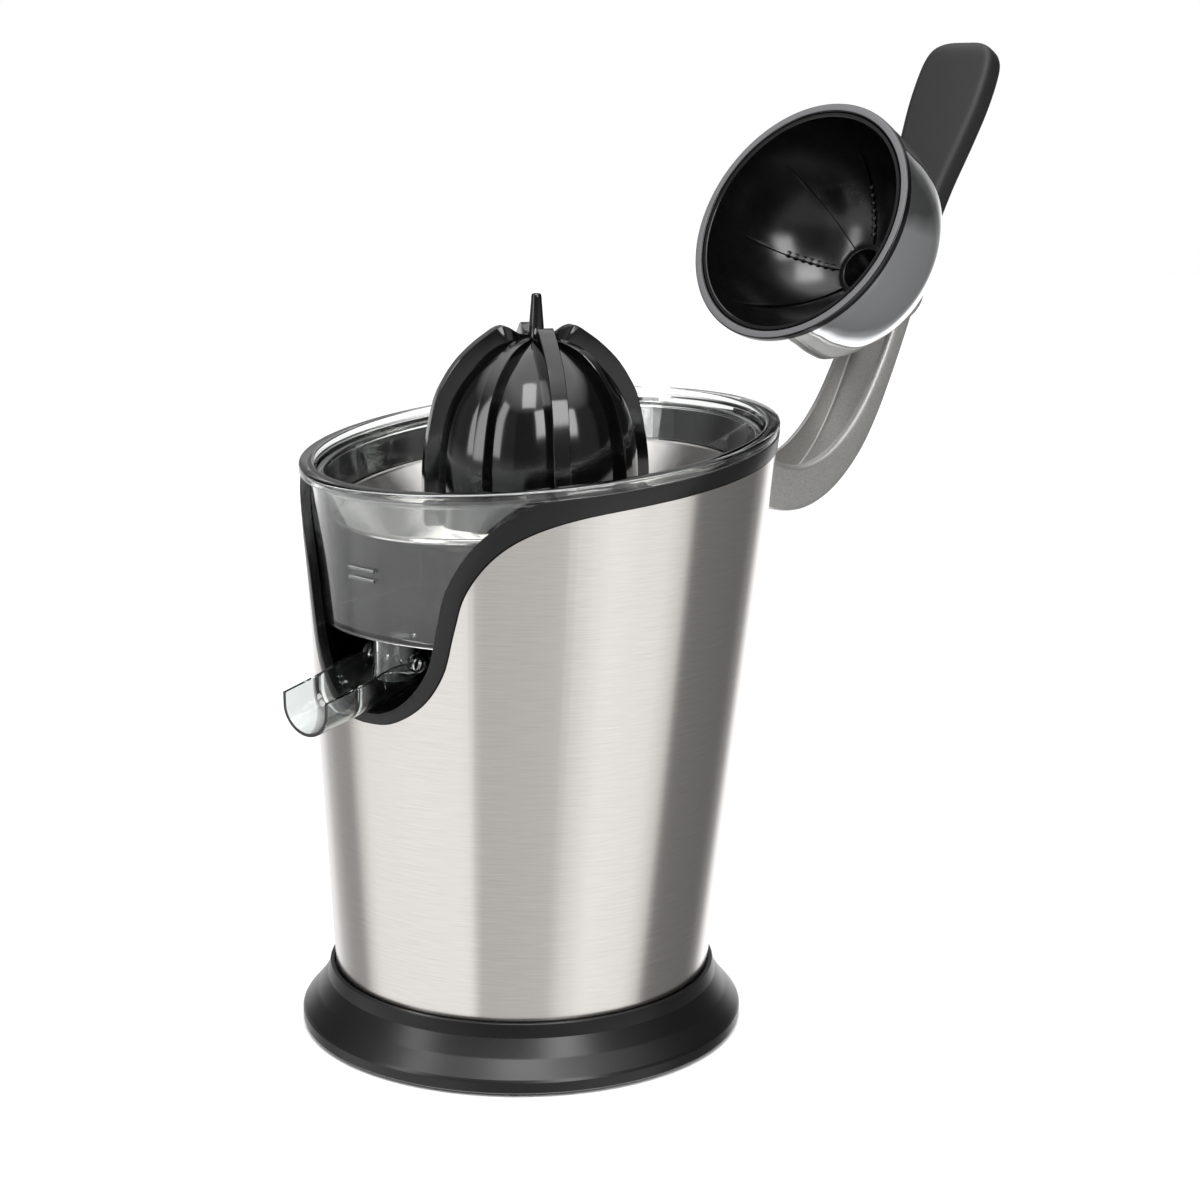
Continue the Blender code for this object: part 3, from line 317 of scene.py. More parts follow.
# %% Give the CAD nodes their finishes
FINISH_OF_SLOT = {
    "satin_black": SATIN_ABS, "gloss_black": GLOSS_ABS, "soft_black": SOFT_GRIP,
    "satin_grey": RIM_ABS, "black_rubber": RUBBER, "brushed_steel": STAINLESS,
    "bright_steel": SCREW, "chrome": CHROME, "cast_aluminium": CAST, "clear_plastic": CLEAR,
    "gear_plastic": ACETAL, "bronze": BRONZE, "windings": COPPER,
}
for subpart in frame["record"]["subparts"]:
    cad_node = frame["nodes"][subpart["node"]]
    cad_node.data.materials.clear()
    cad_node.data.materials.append(FINISH_OF_SLOT[subpart["material_slot"]])


# %% [markdown]
# ## Modelling helpers
# Nearly every piece is a loft: a circle is added, and extruded in edit mode from ring to ring. A
# turned piece is a loft whose rings are circles. Corners are rounded in the profile itself, which
# gives clean edges on metal and plastic without a bevel afterwards.

# %% Paths with rounded corners, and smooth paths
def rounded(corners, steps=4):
    """Round each corner (a, b, fillet, *more) of a closed path; more is carried to its points."""
    path = []
    for before, here, after in zip(corners[-1:] + corners[:-1], corners, corners[1:] + corners[:1]):
        point, back, on = Vector(here[:2]), Vector(before[:2]), Vector(after[:2])
        back, on = back - point, on - point
        if not here[2]:
            path.append((*point, *here[3:]))
            continue
        cut_off = min(here[2] / math.tan(back.angle(on) / 2), 0.45 * back.length, 0.45 * on.length)
        start, end = point + back.normalized() * cut_off, point + on.normalized() * cut_off
        for step in range(steps + 1):
            t = step / steps
            spot = (1 - t) ** 2 * start + 2 * t * (1 - t) * point + t * t * end
            path.append((*spot, *here[3:]))
    return path


def smooth_through(points, steps):
    """Points along the Catmull-Rom curve that passes through the given ones."""
    ends = [points[0], *points, points[-1]]
    path = []
    for a, b, c, d in zip(ends, ends[1:], ends[2:], ends[3:]):
        for step in range(steps):
            t = step / steps
            path.append(tuple(
                0.5 * (2 * q + (r - p) * t + (2 * p - 5 * q + 4 * r - s) * t**2
                       + (3 * q - p - 3 * r + s) * t**3)
                for p, q, r, s in zip(a, b, c, d)
            ))
    path.append(tuple(points[-1]))
    return path


# %% Lofting, turning, cutting and handing over
def pick(piece):
    """Make this the only selected and active object."""
    bpy.ops.object.select_all(action="DESELECT")
    piece.select_set(True)
    bpy.context.view_layer.objects.active = piece


def loft(name, rings, ends="joined"):
    """Extrude a circle from ring to ring; its ends are joined to each other, capped or open."""
    bpy.ops.object.select_all(action="DESELECT")
    bpy.ops.mesh.primitive_circle_add(vertices=len(rings[0]), radius=MM)
    piece = bpy.context.object
    piece.name = piece.data.name = name
    bpy.ops.object.mode_set(mode="EDIT")
    around = bmesh.from_edit_mesh(piece.data).verts.layers.int.new("around")
    for index, vert in enumerate(bmesh.from_edit_mesh(piece.data).verts):
        vert[around] = index
    route = rings + rings[:1] if ends == "joined" else rings
    for number, ring in enumerate(route):
        if number:
            bpy.ops.mesh.extrude_region_move()
        edited = bmesh.from_edit_mesh(piece.data)
        around = edited.verts.layers.int["around"]
        for vert in edited.verts:
            if vert.select:
                vert.co = ring[vert[around]]
        bmesh.update_edit_mesh(piece.data)
    bpy.ops.mesh.select_all(action="SELECT")
    bpy.ops.mesh.remove_doubles(threshold=0.001 * MM)
    if ends == "capped":
        bpy.ops.mesh.fill_holes(sides=0)
    bpy.ops.mesh.select_all(action="SELECT")
    bpy.ops.mesh.normals_make_consistent(inside=False)
    bpy.ops.object.mode_set(mode="OBJECT")
    piece.data.attributes.remove(piece.data.attributes["around"])
    return piece


def circle(radius, height, y=AXIS_Y, count=144, place=None):
    """A level circle on the axis through y, moved by place."""
    ring = []
    for step in range(count):
        turn = 2 * math.pi * step / count
        spot = Vector((radius * math.cos(turn), y + radius * math.sin(turn), height))
        ring.append(place @ spot if place else spot)
    return ring


def turned(name, profile, y=AXIS_Y, count=144, place=None, ends="joined"):
    """Turn (radius, height) points about an upright axis."""
    return loft(name, [circle(r, z, y, count, place) for r, z in profile], ends)


def apply_modifier(piece, kind, **settings):
    """Add a modifier with its settings and apply it."""
    pick(piece)
    modifier = piece.modifiers.new(kind.title(), kind)
    for name, value in settings.items():
        setattr(modifier, name, value)
    bpy.ops.object.modifier_apply(modifier=modifier.name)


def cut(piece, tool, operation="DIFFERENCE"):
    """Cut a tool out of the piece, or join it on, and remove the tool."""
    apply_modifier(piece, "BOOLEAN", object=tool, operation=operation, solver="EXACT")
    bpy.data.objects.remove(tool, do_unlink=True)


def turned_copy(piece, name, turn, axis):
    """A copy with its own mesh, turned about the upright line of the frame called axis."""
    pick(piece)
    bpy.ops.object.duplicate()
    copy = bpy.context.object
    copy.name = copy.data.name = name
    copy.matrix_world = axis @ Matrix.Rotation(turn, 4, "Z") @ axis.inverted()
    bpy.ops.object.transform_apply(location=True, rotation=True, scale=True)
    return copy


def join(pieces):
    """Join the pieces into the first of them."""
    pick(pieces[0])
    for piece in pieces:
        piece.select_set(True)
    bpy.ops.object.join()
    return pieces[0]


def hand_over(piece, body, finish, replaced=(), angle=30):
    """Shade a piece, give it its finish, and let it ride on its body."""
    pick(piece)
    bpy.ops.object.shade_smooth_by_angle(angle=math.radians(angle))
    piece.data.materials.clear()
    piece.data.materials.append(finish)
    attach(piece, body)
    if replaced:
        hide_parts(*replaced)
    print(piece.name, len(piece.data.polygons), "faces on", body)


# %% [markdown]
# ## The body
# The cladding is one sheet of steel bent round the body, with the front opening punched out. It is
# lofted between its foot and its leaning top, and the opening is cut by a prism that is drawn from
# the front. The black trim is cut by the same outlines, so the gap between the two stays even.

# %% Rings on the wall
WALL_STEPS = 192


def wall_ring(inset, height, tilt=1.0):
    """A ring on the flared wall, set in by inset; at tilt 1 it is parallel to the leaning rim."""
    ring = []
    for step in range(WALL_STEPS):
        turn = 2 * math.pi * step / WALL_STEPS
        along, across = math.cos(turn), math.sin(turn)
        foot = Vector(((FOOT_RADIUS - inset) * along, (FOOT_RADIUS - inset) * across, FOOT_Z))
        rim_y = RIM_CENTRE_Y + (RIM_HALF_DEPTH - inset) * across
        rim = Vector(((RIM_HALF_WIDTH - inset) * along, rim_y, RIM_Z + RIM_SLOPE * rim_y))
        line, slope = rim - foot, RIM_SLOPE * tilt
        ring.append(foot + (height - foot.z + slope * foot.y) / (line.z - slope * line.y) * line)
    return ring


def wall_loft(name, corners):
    """A closed loft of wall rings; each corner is (inset, height, fillet, tilt) in millimetres."""
    return loft(name, [wall_ring(a * MM, b * MM, tilt) for a, b, tilt in rounded(corners)])


# %% The front opening's prism
OPENING = (
    (0, 139), (14, 140.5), (27, 148), (35.5, 160), (40, 176), (44, 189), (52, 201), (62, 209),
    (75, 213.6), (92, 214.5),
)
OPENING_INSIDE = (
    (0, 142.8), (11, 144), (21.5, 150), (30, 161), (34, 175), (37.5, 189), (44.5, 202),
    (54, 212.5), (68, 222),
)
FRONT_Y = -130 * MM


def opening_prism(name, half_outline, rear, shrink=0.0):
    """A half outline in the front view, mirrored, and pushed back along the rim's slope."""
    half = [(max(x - shrink, 0) * MM, (z + shrink) * MM) for x, z in smooth_through(half_outline, 6)]
    top = 262 * MM
    outline = half + [(half[-1][0], top), (-half[-1][0], top)]
    outline += [(-x, z) for x, z in reversed(half[1:])]
    return loft(
        name, [[Vector((x, y, z + RIM_SLOPE * y)) for x, z in outline] for y in (FRONT_Y, rear)],
        "capped",
    )


def bracket_notch():
    """The rear gap in the walls where the hinge bracket comes through."""
    bpy.ops.mesh.primitive_cube_add(size=1, location=(0, 97.5 * MM, 219.85 * MM))
    notch = bpy.context.object
    notch.scale = (44.6 * MM, 35 * MM, 50.3 * MM)
    pick(notch)
    bpy.ops.object.transform_apply(location=True, scale=True)
    return notch


# %% Brushed steel cladding
cladding = wall_loft("cladding", [
    (0, CLADDING_BOTTOM / MM, 0.25, 0), (0, STEEL_TOP / MM, 0.25, 1), (0.8, STEEL_TOP / MM, 0.25, 1),
    (0.8, CLADDING_BOTTOM / MM, 0.25, 0),
])
cut(cladding, opening_prism("opening", OPENING, 5 * MM))
cut(cladding, bracket_notch())
hand_over(cladding, "housing", STAINLESS, ["steel_housing"])

# %% Black trim round the opening and the rim
TRIM_PROUD, TRIM_DEEP = -0.25, 3.35
trim = wall_loft("black_trim", [
    (TRIM_PROUD, 136, 0, 1), (TRIM_PROUD, TRIM_TOP / MM, 0, 1), (TRIM_DEEP, TRIM_TOP / MM, 0, 1),
    (TRIM_DEEP, 136, 0, 1),
])
trim_zone = opening_prism("trim_zone", OPENING, 0.0, 0.3)
above_steel = loft(
    "above_steel", [wall_ring(-10 * MM, STEEL_TOP + 0.3 * MM), wall_ring(-10 * MM, 262 * MM)], "capped",
)
cut(trim_zone, above_steel, "UNION")
cut(trim, trim_zone, "INTERSECT")
cut(trim, opening_prism("opening", OPENING_INSIDE, -25 * MM, 0.15))
cut(trim, bracket_notch())
apply_modifier(trim, "BEVEL", width=0.45 * MM, segments=3, limit_method="ANGLE",
               angle_limit=math.radians(50))
hand_over(trim, "housing", SATIN_ABS, ["trim_band"])

# %% [markdown]
# ## The base ring
# A moulded black skirt: a short upright collar round the cladding, a slope out to the foot, and a
# flat upright edge. It is one turned profile. Its corners are small, so each catches a thin light.

# %% Base ring
base_low, base_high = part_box("base_ring")
BASE_RADIUS = base_high.x / MM
base = turned("base_skirt", [(r * MM, z * MM) for r, z in rounded([
    (74.2, base_high.z / MM, 0.4), (75.3, 18.6, 0.3), (79.3, 12.4, 6), (84.4, 6.5, 0.3),
    (BASE_RADIUS, 5.5, 0.3), (BASE_RADIUS, 1.8, 0.5), (84.2, base_low.z / MM, 0.3),
    (74, base_low.z / MM, 0.2), (74, 4.2, 0.2), (69.5, 4.2, 0.2), (69.5, 19.6, 0.2),
    (72.7, 19.6, 0.2), (72.7, base_high.z / MM, 0.3),
])], 0.0, 192)
INLET_Z = 13 * MM
bpy.ops.mesh.primitive_cylinder_add(
    vertices=48, radius=4.3 * MM, depth=24 * MM, location=(0, 78 * MM, INLET_Z),
    rotation=(math.pi / 2, 0, 0),
)
cut(base, bpy.context.object)
hand_over(base, "housing", SATIN_ABS, ["base_ring"])

# %% [markdown]
# ## The juice collector
# One clear moulding: a thick rim that overhangs the trim, a thin wall, a floor that shows at the
# front opening, a collar round the drive shaft and a nozzle. A clear solid needs a closed, evenly
# thick wall, because each of its surfaces bends the light.

# %% Collector
FLOOR_Z = 160
collector_rings = [wall_ring(a * MM, b * MM, tilt) for a, b, tilt in rounded([
    (3.6, FLOOR_Z, 1.2, 0), (3.6, TRIM_TOP / MM + 0.3, 0.3, 1), (0, TRIM_TOP / MM + 0.3, 0.5, 1),
    (0, RIM_Z / MM, 1.3, 1), (5.6, RIM_Z / MM, 1.3, 1), (5.6, FLOOR_Z + 2, 3, 0),
])]
for radius, level in ((11.5, 162), (11, 197), (9, 197), (9, FLOOR_Z)):
    collector_rings.append(circle(radius * MM, level * MM, count=WALL_STEPS))
collector = loft("clear_collector", collector_rings)
NOZZLE_Y = SPOUT_PIVOT.y
NOZZLE_BORE, TRUNNION_RADIUS = 6.6 * MM, 2.5 * MM
cut(collector, turned(
    "nozzle", [(r * MM, z * MM) for r, z in ((8.5, 161), (8.5, 145), (8.1, 144.5))],
    NOZZLE_Y, 64, ends="capped",
), "UNION")
bpy.ops.mesh.primitive_cylinder_add(
    vertices=32, radius=TRUNNION_RADIUS, depth=22 * MM, location=SPOUT_PIVOT,
    rotation=(0, math.pi / 2, 0),
)
cut(collector, bpy.context.object, "UNION")
cut(collector, turned(
    "nozzle_bore", [(NOZZLE_BORE, 140 * MM), (NOZZLE_BORE, 170 * MM)], NOZZLE_Y, 64, ends="capped",
))
hand_over(collector, "collector", CLEAR, ["collector"])

# %% [markdown]
# ## The spout
# A clear trough with a round bottom that narrows towards its lip, with a low ridge across it that
# stops the last drop. It hangs on two round cheeks.

# %% Spout
SPOUT_WALL = 1.6
RIDGE_ALONG, RIDGE_HEIGHT, RIDGE_SPREAD = -26.5, 0.9, 1.0
SPOUT_STATIONS = (  # along the trough, its half width, its centre and its top edge
    (11.5, 11.6, 1.66, 1.5), (-10, 11.6, -3.5, 1), (-24, 11.4, -6.86, -3), (-41.5, 11, -11.06, -7.2),
)


def trough_ring(along, half, centre, top):
    """A U-shaped section: outside from left to right, then inside back again."""
    ring = []
    ridge = RIDGE_HEIGHT * math.exp(-((along - RIDGE_ALONG) / RIDGE_SPREAD) ** 2)
    turns = [math.pi * (1 + step / 24) for step in range(25)]
    for radius, course in ((half + SPOUT_WALL, turns), (half - ridge, turns[::-1])):
        for turn in course:
            upright = centre + 0.8 * radius * math.sin(turn)
            at_edge = turn in (turns[0], turns[-1])
            ring.append(SPOUT_PIVOT + MM * Vector((
                radius * math.cos(turn), along, top if at_edge else upright,
            )))
    return ring


stations = smooth_through(SPOUT_STATIONS, 24)
spout = loft("clear_spout", [trough_ring(*station) for station in stations], "capped")
for side in (-1, 1):
    bpy.ops.mesh.primitive_cylinder_add(
        vertices=48, radius=5 * MM, depth=1.6 * MM,
        location=SPOUT_PIVOT + Vector((side * 12.4 * MM, 0, 0)), rotation=(0, math.pi / 2, 0),
    )
    cut(spout, bpy.context.object, "UNION")
bpy.ops.mesh.primitive_cylinder_add(
    vertices=32, radius=2.8 * MM, depth=40 * MM, location=SPOUT_PIVOT, rotation=(0, math.pi / 2, 0),
)
cut(spout, bpy.context.object)
# Its finish is the clear styrene with a darker tint, which is painted shade for the trough's dark
# reflections.
hand_over(spout, "spout", CLEAR_SPOUT_PAINTED_SHADE, ["spout"])

# %% [markdown]
# ## The sieve
# A drawn steel dish under a clear carrier ring that hangs inside the collector's rim. The
# two are lofted on the same flared wall. The slots are cut by rows of small blocks, turned about
# the axis.

# %% Sieve
SIEVE_RIM = 220
SIEVE_FLOOR = 192
carrier = wall_loft("sieve_carrier", [
    (6.3, SIEVE_RIM - 2, 0.3, 1), (6.3, SIEVE_RIM, 0.7, 1), (9, SIEVE_RIM, 0.7, 1),
    (11.3, 206.5, 0.3, 1), (10.5, 206.5, 0.2, 1), (8.2, SIEVE_RIM - 2, 0.4, 1),
])
hand_over(carrier, "sieve", CLEAR)
sieve_rings = [wall_ring(a * MM, b * MM, tilt) for a, b, tilt in (
    (10.9, 205.2, 1), (11.3, 206, 1), (12.3, 206.3, 1), (13.3, 205.9, 1), (13.8, 205, 1),
)]
for radius, level in ((64, 195), (63.2, 193.8), (61, 192.8), (16, 192.8), (16, SIEVE_FLOOR),
                      (61, SIEVE_FLOOR), (63.8, 193), (65, 194.4)):
    sieve_rings.append(circle(radius * MM, level * MM, count=WALL_STEPS))
sieve_rings += [wall_ring(12.9 * MM, 204.2 * MM), wall_ring(11.4 * MM, 204.4 * MM)]
sieve = loft("sieve_dish", sieve_rings)
DRIVE_AXIS = Matrix.Translation((0, AXIS_Y, 0))
SLOT_ROWS = ((24, 10, 24), (38, 12, 36), (53, 10, 48))  # middle radius, length and count
SLOT_WIDTH = 1.3
blocks = []
for middle, length, count in SLOT_ROWS:
    bpy.ops.mesh.primitive_cube_add(size=1, location=(middle * MM, AXIS_Y, (SIEVE_FLOOR + 0.4) * MM))
    block = bpy.context.object
    block.scale = (length * MM, SLOT_WIDTH * MM, 4 * MM)
    bpy.ops.object.transform_apply(location=True, rotation=True, scale=True)
    blocks.append(block)
    for step in range(1, count):
        blocks.append(turned_copy(block, "slot", 2 * math.pi * step / count, DRIVE_AXIS))
cut(sieve, join(blocks))
hand_over(sieve, "sieve", BRIGHT, ["sieve"])
hub = turned("sieve_collar", [(r * MM, z * MM) for r, z in rounded([
    (11.6, 196, 0.5), (18.5, 196, 0.8), (18.5, 193.1, 0.2), (15.7, 193.1, 0), (15.7, 190.5, 0.3),
    (11.6, 190.5, 0.3),
])])
hand_over(hub, "sieve", GLOSS_ABS, ["sieve_hub"])

# %% [markdown]
# ## The reamer cone
# Four tall fins cut the fruit, four lower ribs press it, and eight bulging lobes lie between. Each
# ring goes round all of them, and the three profiles, of fin, rib and lobe, set how far out every
# point lies at that level. A slim spike centres the fruit.

# %% Cone
FIRST_FIN = math.radians(-30.5)
FIN_PROFILE = (
    (43.2, 199), (43.3, 213), (42, 225), (39, 239.5), (35, 248), (30.5, 254.5), (25, 260),
    (19.8, 264), (14, 267.2), (8, 264.2), (3.4, 264),
)
RIB_PROFILE = (
    (40.6, 199), (40.7, 213), (39.5, 225), (36.4, 238), (32.3, 246.2), (27.6, 252.4), (22, 257.5),
    (16.5, 260.4), (11, 262), (6.5, 262.8), (3.2, 263.2),
)
LOBE_PROFILE = (
    (37.2, 199), (37.3, 213), (36.3, 225), (33.6, 236.5), (29.8, 244.2), (25.2, 250.4), (20, 255),
    (15, 258.4), (10, 260.8), (6, 262.2), (3.2, 263),
)
FIN_HALF, RIB_HALF = 3.3, 2.6
CREST_SHARE = 0.96  # a crest is a little slimmer than its foot
TIP_SHARE = 0.7  # near the tip, half a fin's width is at most this share of the lobes' radius
CREST_LIMIT, FOOT_LIMIT = 0.33, 0.36  # sines of the widest half angles, near the tip
LOBE_POINTS, LOBE_BULGE = 9, 0.035
LEVELS = list(zip(*(smooth_through(p, 4) for p in (FIN_PROFILE, RIB_PROFILE, LOBE_PROFILE))))


def foot_turn(half, lobe_radius):
    """The angle from the middle of a fin or rib to where its foot meets the lobe."""
    return math.asin(min(FOOT_LIMIT, min(half, TIP_SHARE * lobe_radius) / lobe_radius))


def cone_ring(level, shrink=1.0, lift=0.0):
    """A ring at one level, round fins, ribs and lobes."""
    fin, rib, lobe = level
    blades = ((fin, FIN_HALF), (rib, RIB_HALF))
    ring = []
    for octant in range(8):
        middle = FIRST_FIN + octant * math.pi / 4
        (radius, top), half = blades[octant % 2]
        crest = min(half, TIP_SHARE * lobe[0]) * CREST_SHARE
        crest = math.asin(min(CREST_LIMIT, crest / radius))
        foot = foot_turn(half, lobe[0])
        next_foot = foot_turn(blades[(octant + 1) % 2][1], lobe[0])
        edge = min(0.5, 0.2 * (radius - lobe[0]))
        bank = [
            (foot, *lobe), (crest + 0.12 * (foot - crest), radius - 1.6 * edge, top),
            (crest, radius - 0.7 * edge, top), (crest * 0.9, radius, top),
            (0, radius * 1.001, top),
        ]
        course = [(-turn, r, z) for turn, r, z in bank] + bank[-2::-1]
        for step in range(1, LOBE_POINTS + 1):
            share = step / (LOBE_POINTS + 1)
            turn = foot + share * (math.pi / 4 - foot - next_foot)
            bulge = 1 + LOBE_BULGE * math.sin(math.pi * share)
            course.append((turn, lobe[0] * bulge, lobe[1]))
        for turn, r, z in course:
            ring.append(Vector((
                shrink * r * math.cos(middle + turn) * MM,
                AXIS_Y + shrink * r * math.sin(middle + turn) * MM, (z + lift) * MM,
            )))
    return ring


def cone_circle(radius, height):
    """A circle whose points stand at the same directions as the bottom ring's."""
    turns = [math.atan2(p.y - AXIS_Y, p.x) for p in cone_ring(LEVELS[0])]
    return [
        Vector((radius * MM * math.cos(turn), AXIS_Y + radius * MM * math.sin(turn), height * MM))
        for turn in turns
    ]


cone_rings = [
    cone_circle(r, z) for r, z in
    ((5.2, 230.5), (4.4, 227), (4.4, 200.5), (7.5, 200.5), (7.5, 236), (20, 236), (31, 222), (33.5, 199))
]
cone_rings.append(cone_ring(LEVELS[0], 0.985))
cone_rings.append(cone_ring(LEVELS[0], 1.0, 0.6))
cone_rings += [cone_ring(level) for level in LEVELS[1:]]
cone_rings += [
    cone_circle(r, z) for r, z in
    ((2.95, 265), (2.9, 266), (2.4, 272), (1.95, 277.6), (1.85, 278.3), (1.5, 278.8), (0.9, 279))
]
cone = loft("reamer_cone", cone_rings, "capped")
hand_over(cone, "cone", GLOSS_ABS, ["cone"], 28)

# %% [markdown]
# ## The hinge bracket
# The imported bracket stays, and a small bevel takes the sharpness off its moulded edges.

# %% Bracket edges
bracket = frame["nodes"]["hinge_bracket"]
bracket.modifiers.new("Weld", "WELD")
edges = bracket.modifiers.new("Bevel", "BEVEL")
edges.width = 0.5 * MM
edges.segments = 2
edges.limit_method = "ANGLE"
edges.angle_limit = math.radians(40)

# %% [markdown]
# ## The press cap
# A black bowl that takes the half fruit, a satin rim ring and a chrome shell. They are turned in
# the lever's own frame, as if the arm were down, and swung open with it by one matrix. The bowl
# has eight fine ribs that grip the peel, and every other rib is beaded near the middle.

# %% Cap
CAP_Y = AXIS_Y - HINGE.y
CAP_RIM_Z = 4


def cap_turned(name, profile, count=160):
    """Turn a profile whose heights are above the cap's rim."""
    return turned(name, [(r * MM, (CAP_RIM_Z + z) * MM) for r, z in profile], CAP_Y, count, LEVER)


cap_rim = cap_turned("cap_rim_ring", rounded([
    (49.4, 3.2, 0.3), (53, 3.2, 0.4), (53, 0.2, 0.6), (49.4, 0.2, 0.5),
]))
hand_over(cap_rim, "lever", GLOSS_ABS, ["cap_rim"])
rim_face = cap_turned("cap_rim_face", rounded([
    (49.9, 0.5, 0.05), (52.5, 0.5, 0.05), (52.5, 0, 0.2), (49.9, 0, 0.2),
]))
hand_over(rim_face, "lever", RIM_ABS)

BOWL_RADIUS, BOWL_DEPTH, BOWL_WALL = 47.2, 52, 1.8
BOWL_TURNS = [math.radians(turn) for turn in range(0, 74, 4)] + [math.radians(75)]
bowl_out = [
    ((BOWL_RADIUS + BOWL_WALL) * math.cos(t), (BOWL_DEPTH + BOWL_WALL) * math.sin(t)) for t in BOWL_TURNS
]
bowl_in = [(BOWL_RADIUS * math.cos(t), BOWL_DEPTH * math.sin(t)) for t in BOWL_TURNS]
liner = cap_turned(
    "cap_bowl",
    [(10.8, 52.5), *bowl_out[:0:-1], (49, 3.4), (49, 0.9), (48.8, 0.5), (47.5, 0.5), (47.2, 0.8)]
    + [*bowl_in[1:], (10.8, 50)],
)
hand_over(liner, "lever", BOWL_ABS, ["cap_liner"])

shell_out = smooth_through([
    (7.6, 56.6), (20, 56.5), (31, 52.7), (40, 45.7), (46.4, 37.4), (49.5, 30.6), (51.7, 20),
    (52.6, 9), (52.7, 3.5),
], 5)
shell_in = [(r - 1.3 if r > 22 else r, z - 1.4 if r < 51 else z) for r, z in reversed(shell_out)]
shell = cap_turned("cap_shell_chrome", shell_out + shell_in)
hand_over(shell, "lever", CHROME, ["cap_shell"])

bush = cap_turned("cap_bush_ring", rounded([
    (2.4, 69.7, 0), (7.2, 69.7, 0.2), (7.2, 54.6, 0), (10.4, 54.2, 0), (10.4, 49.6, 0),
    (11.8, 49.6, 0.3), (11.8, 48.2, 0.5), (9.2, 48.2, 0.4), (5.4, 55.8, 0.5), (5.4, 68.2, 0),
    (2.4, 68.2, 0),
]), 96)
hand_over(bush, "lever", BOWL_ABS, ["cap_bush"])


# %% Ribs and beads in the bowl
def bowl_point(turn, rise, lift=0.0):
    """A point on the bowl's inner face, lifted off it towards the middle."""
    radius = (BOWL_RADIUS - lift) * math.cos(rise)
    spot = Vector((radius * math.cos(turn), 0, (BOWL_DEPTH - lift) * math.sin(rise) + CAP_RIM_Z))
    return LEVER @ Vector((spot.x * MM, CAP_Y + radius * math.sin(turn) * MM, spot.z * MM))


CAP_AXIS = LEVER @ Matrix.Translation((0, CAP_Y, 0))
RIB_COUNT = 8
RIB_HALF_WIDTH, RIB_HEIGHT = 1.0, 1.0  # the spinning fins pass 1.4 mm under the bowl
aside = LEVER.to_3x3() @ Vector((0, RIB_HALF_WIDTH * MM, 0))
rib_rings = []
for index, rise in enumerate(range(18, 76, 3)):
    high = RIB_HEIGHT * min(1, index / 5)
    foot = bowl_point(0, math.radians(rise), -0.3)
    crest = bowl_point(0, math.radians(rise), 0.05 + high)
    rib_rings.append([foot + aside, crest + aside * 0.6, crest - aside * 0.6, foot - aside])
rib = loft("bowl_rib_1", rib_rings, "capped")
ribs = [rib]
for number in range(1, RIB_COUNT):
    turn = 2 * math.pi * number / RIB_COUNT
    ribs.append(turned_copy(rib, f"bowl_rib_{number + 1}", turn, CAP_AXIS))
for piece in ribs:
    hand_over(piece, "lever", BOWL_ABS, angle=40)

BEAD_RADIUS, BEAD_SUNK = 1.7 * MM, 0.4
beads = []
for rise in range(46, 72, 4):
    bpy.ops.mesh.primitive_uv_sphere_add(
        segments=14, ring_count=8, radius=BEAD_RADIUS,
        location=bowl_point(0, math.radians(rise), -BEAD_SUNK),
    )
    beads.append(bpy.context.object)
row = join(beads)
row.name = row.data.name = "rib_beads_1"
bpy.ops.object.transform_apply(location=True, rotation=True, scale=True)
rows = [row]
for number in range(2, RIB_COUNT, 2):
    turn = 2 * math.pi * number / RIB_COUNT
    rows.append(turned_copy(row, f"rib_beads_{number + 1}", turn, CAP_AXIS))
for piece in rows:
    hand_over(piece, "lever", BOWL_ABS, angle=60)

# %% [markdown]
# ## The arm
# A die casting: a flat bar that bends up from its hinge and over the cap. Its edges are rounded by
# the tool, and its inner side is hollowed to a channel to save metal. It is lofted along its
# route, with a rounded oblong as its section, and its pocket, boss and hinge barrel are cut and
# joined after.

# %% Arm
ARM_ROUTE = (  # in the lever's frame: y, z and half the thickness
    (0, 0, 7.6), (5.4, 15, 8.2), (6.8, 30.2, 9.6), (3, 43.4, 9.4), (-4.2, 53.4, 8.8),
    (-14.2, 61.6, 7.8), (-27.8, 68, 6.8), (-42.6, 71.5, 5.8), (-58, 73, 5.1), (-74, 73.4, 4.8),
    (-99.5, 72.8, 4.8), (-122, 72, 4.8), (-133, 71.6, 4.8),
)
ARM_HALF_WIDTH = 14
arm_route = smooth_through(ARM_ROUTE, 6)


def route_frame(route, index):
    """A point of the arm's route, the direction away from the cap, and half the thickness."""
    y, z, half = route[index]
    before, after = route[max(index - 1, 0)], route[min(index + 1, len(route) - 1)]
    heading = Vector((0, after[0] - before[0], after[1] - before[1])).normalized()
    return Vector((0, y, z)), Vector((0, -heading.z, heading.y)) * -1, half


def oblong(centre, outward, half_width, low, high, fillet):
    """A rounded oblong ring across the arm, between low and high along outward."""
    section = rounded([
        (half_width, high, fillet), (half_width, low, fillet), (-half_width, low, fillet),
        (-half_width, high, fillet),
    ], 5)
    return [LEVER @ (MM * (centre + Vector((x, 0, 0)) + outward * w)) for x, w in section]


arm_rings = []
for index in range(len(arm_route)):
    centre, outward, half = route_frame(arm_route, index)
    arm_rings.append(oblong(centre, outward, ARM_HALF_WIDTH, -half, half, 2.6))
arm = loft("cast_arm", arm_rings, "capped")


def lever_cylinder(radius, start, end, count=64):
    """A cylinder between two points of the lever's frame, in millimetres."""
    start, end = LEVER @ (MM * Vector(start)), LEVER @ (MM * Vector(end))
    bpy.ops.mesh.primitive_cylinder_add(
        vertices=count, radius=radius * MM, depth=(end - start).length, location=(start + end) / 2,
        rotation=(end - start).to_track_quat("Z", "Y").to_euler(),
    )
    return bpy.context.object


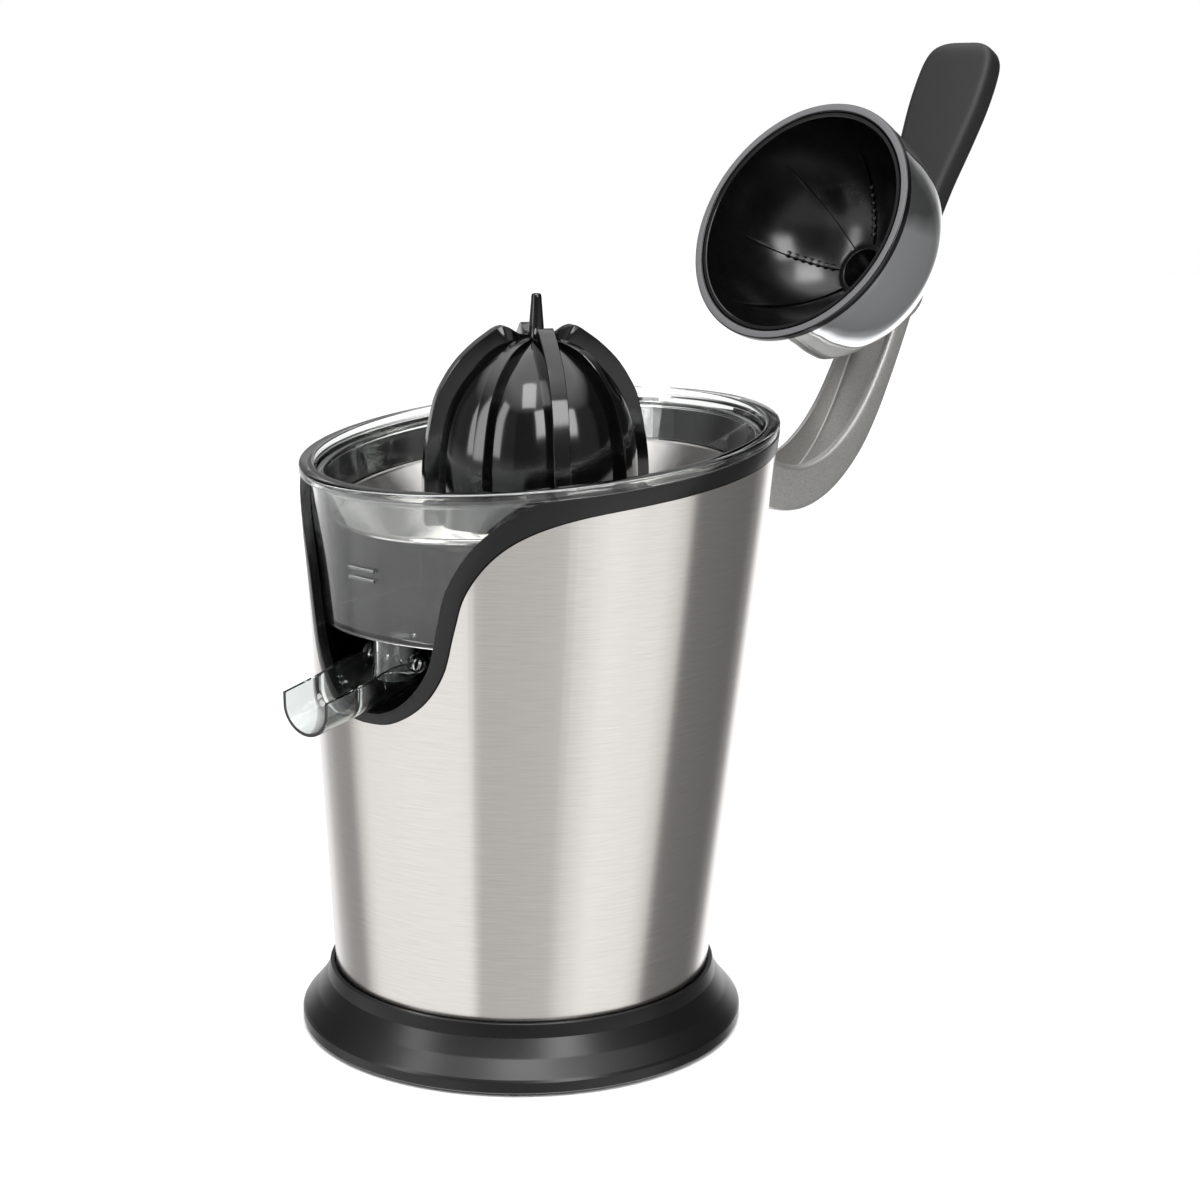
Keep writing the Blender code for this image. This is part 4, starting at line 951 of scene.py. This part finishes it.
CAP_Y_MM = CAP_Y / MM
ARM_UNDER = 67.2
BARREL_RADIUS, PIN_HOLE = 8, 3.3
SPACER_SEAT, SCREW_HOLE = 7.7, 2.3
cut(arm, lever_cylinder(BARREL_RADIUS, (-ARM_HALF_WIDTH, 0, 0), (ARM_HALF_WIDTH, 0, 0)), "UNION")
boss = turned("boss", [(r * MM, z * MM) for r, z in (
    (12.1, ARM_UNDER), (12.5, ARM_UNDER + 0.4), (12.5, 81.6), (12.1, 82.6), (11.2, 83),
)], CAP_Y, 72, LEVER, "capped")
cut(arm, boss, "UNION")
POCKET_HALF_WIDTH, WEB = 10.8, 2.6
POCKET_FIRST, POCKET_LAST = 17, 55  # places on the smooth route
pocket_rings = []
for index in range(POCKET_FIRST, POCKET_LAST + 1):
    centre, outward, half = route_frame(arm_route, index)
    deep = half - WEB if POCKET_FIRST < index < POCKET_LAST else 0.2 * half
    pocket_rings.append(oblong(centre, outward, POCKET_HALF_WIDTH, -half - 8, deep, 1.2))
cut(arm, loft("pocket", pocket_rings, "capped"))
cut(arm, lever_cylinder(PIN_HOLE, (-20, 0, 0), (20, 0, 0)))
cut(arm, lever_cylinder(SPACER_SEAT, (0, CAP_Y_MM, 60), (0, CAP_Y_MM, 74)))
cut(arm, lever_cylinder(SCREW_HOLE, (0, CAP_Y_MM, 60), (0, CAP_Y_MM, 80)))
hand_over(arm, "lever", CAST, ["arm"], 35)

# %% [markdown]
# ## The grip
# A soft paddle that swallows the arm's end. Its section is an oblong with well-rounded edges, its
# sides spread towards a round tip, and two screws hold it from behind.

# %% Grip
GRIP_SIDE = (  # along the lever and half the width
    (-134, 13.4), (-150, 14.6), (-168, 17), (-186, 18.8), (-202, 18.6), (-210, 16.4), (-214.4, 11.5),
    (-216, 4),
)
GRIP_Z, GRIP_HALF = 72, 5.6
grip_rings = []
for index, (y, half_width) in enumerate(smooth_through(GRIP_SIDE, 6)):
    past = max(0.0, (-y - 205) / 11)
    slim = GRIP_HALF * math.sqrt(max(0.03, 1 - 0.9 * past**4))
    if index == 0:
        half_width, slim = half_width - 0.8, slim - 0.8
    grip_rings.append(oblong(
        Vector((0, y, GRIP_Z)), Vector((0, 0, 1)), half_width, -slim, slim, min(3.6, 0.9 * slim),
    ))
grip_rings.insert(1, oblong(Vector((0, -134.5, GRIP_Z)), Vector((0, 0, 1)), 13.4, -5.6, 5.6, 3.6))
grip = loft("soft_grip", grip_rings, "capped")
SCREW_PLACES, SCREW_RECESS = (-148, -164), 2.6
for y in SCREW_PLACES:
    cut(grip, lever_cylinder(SCREW_RECESS, (0, y, 74.6), (0, y, 84), 40))
hand_over(grip, "lever", SOFT_GRIP, ["grip"], 40)
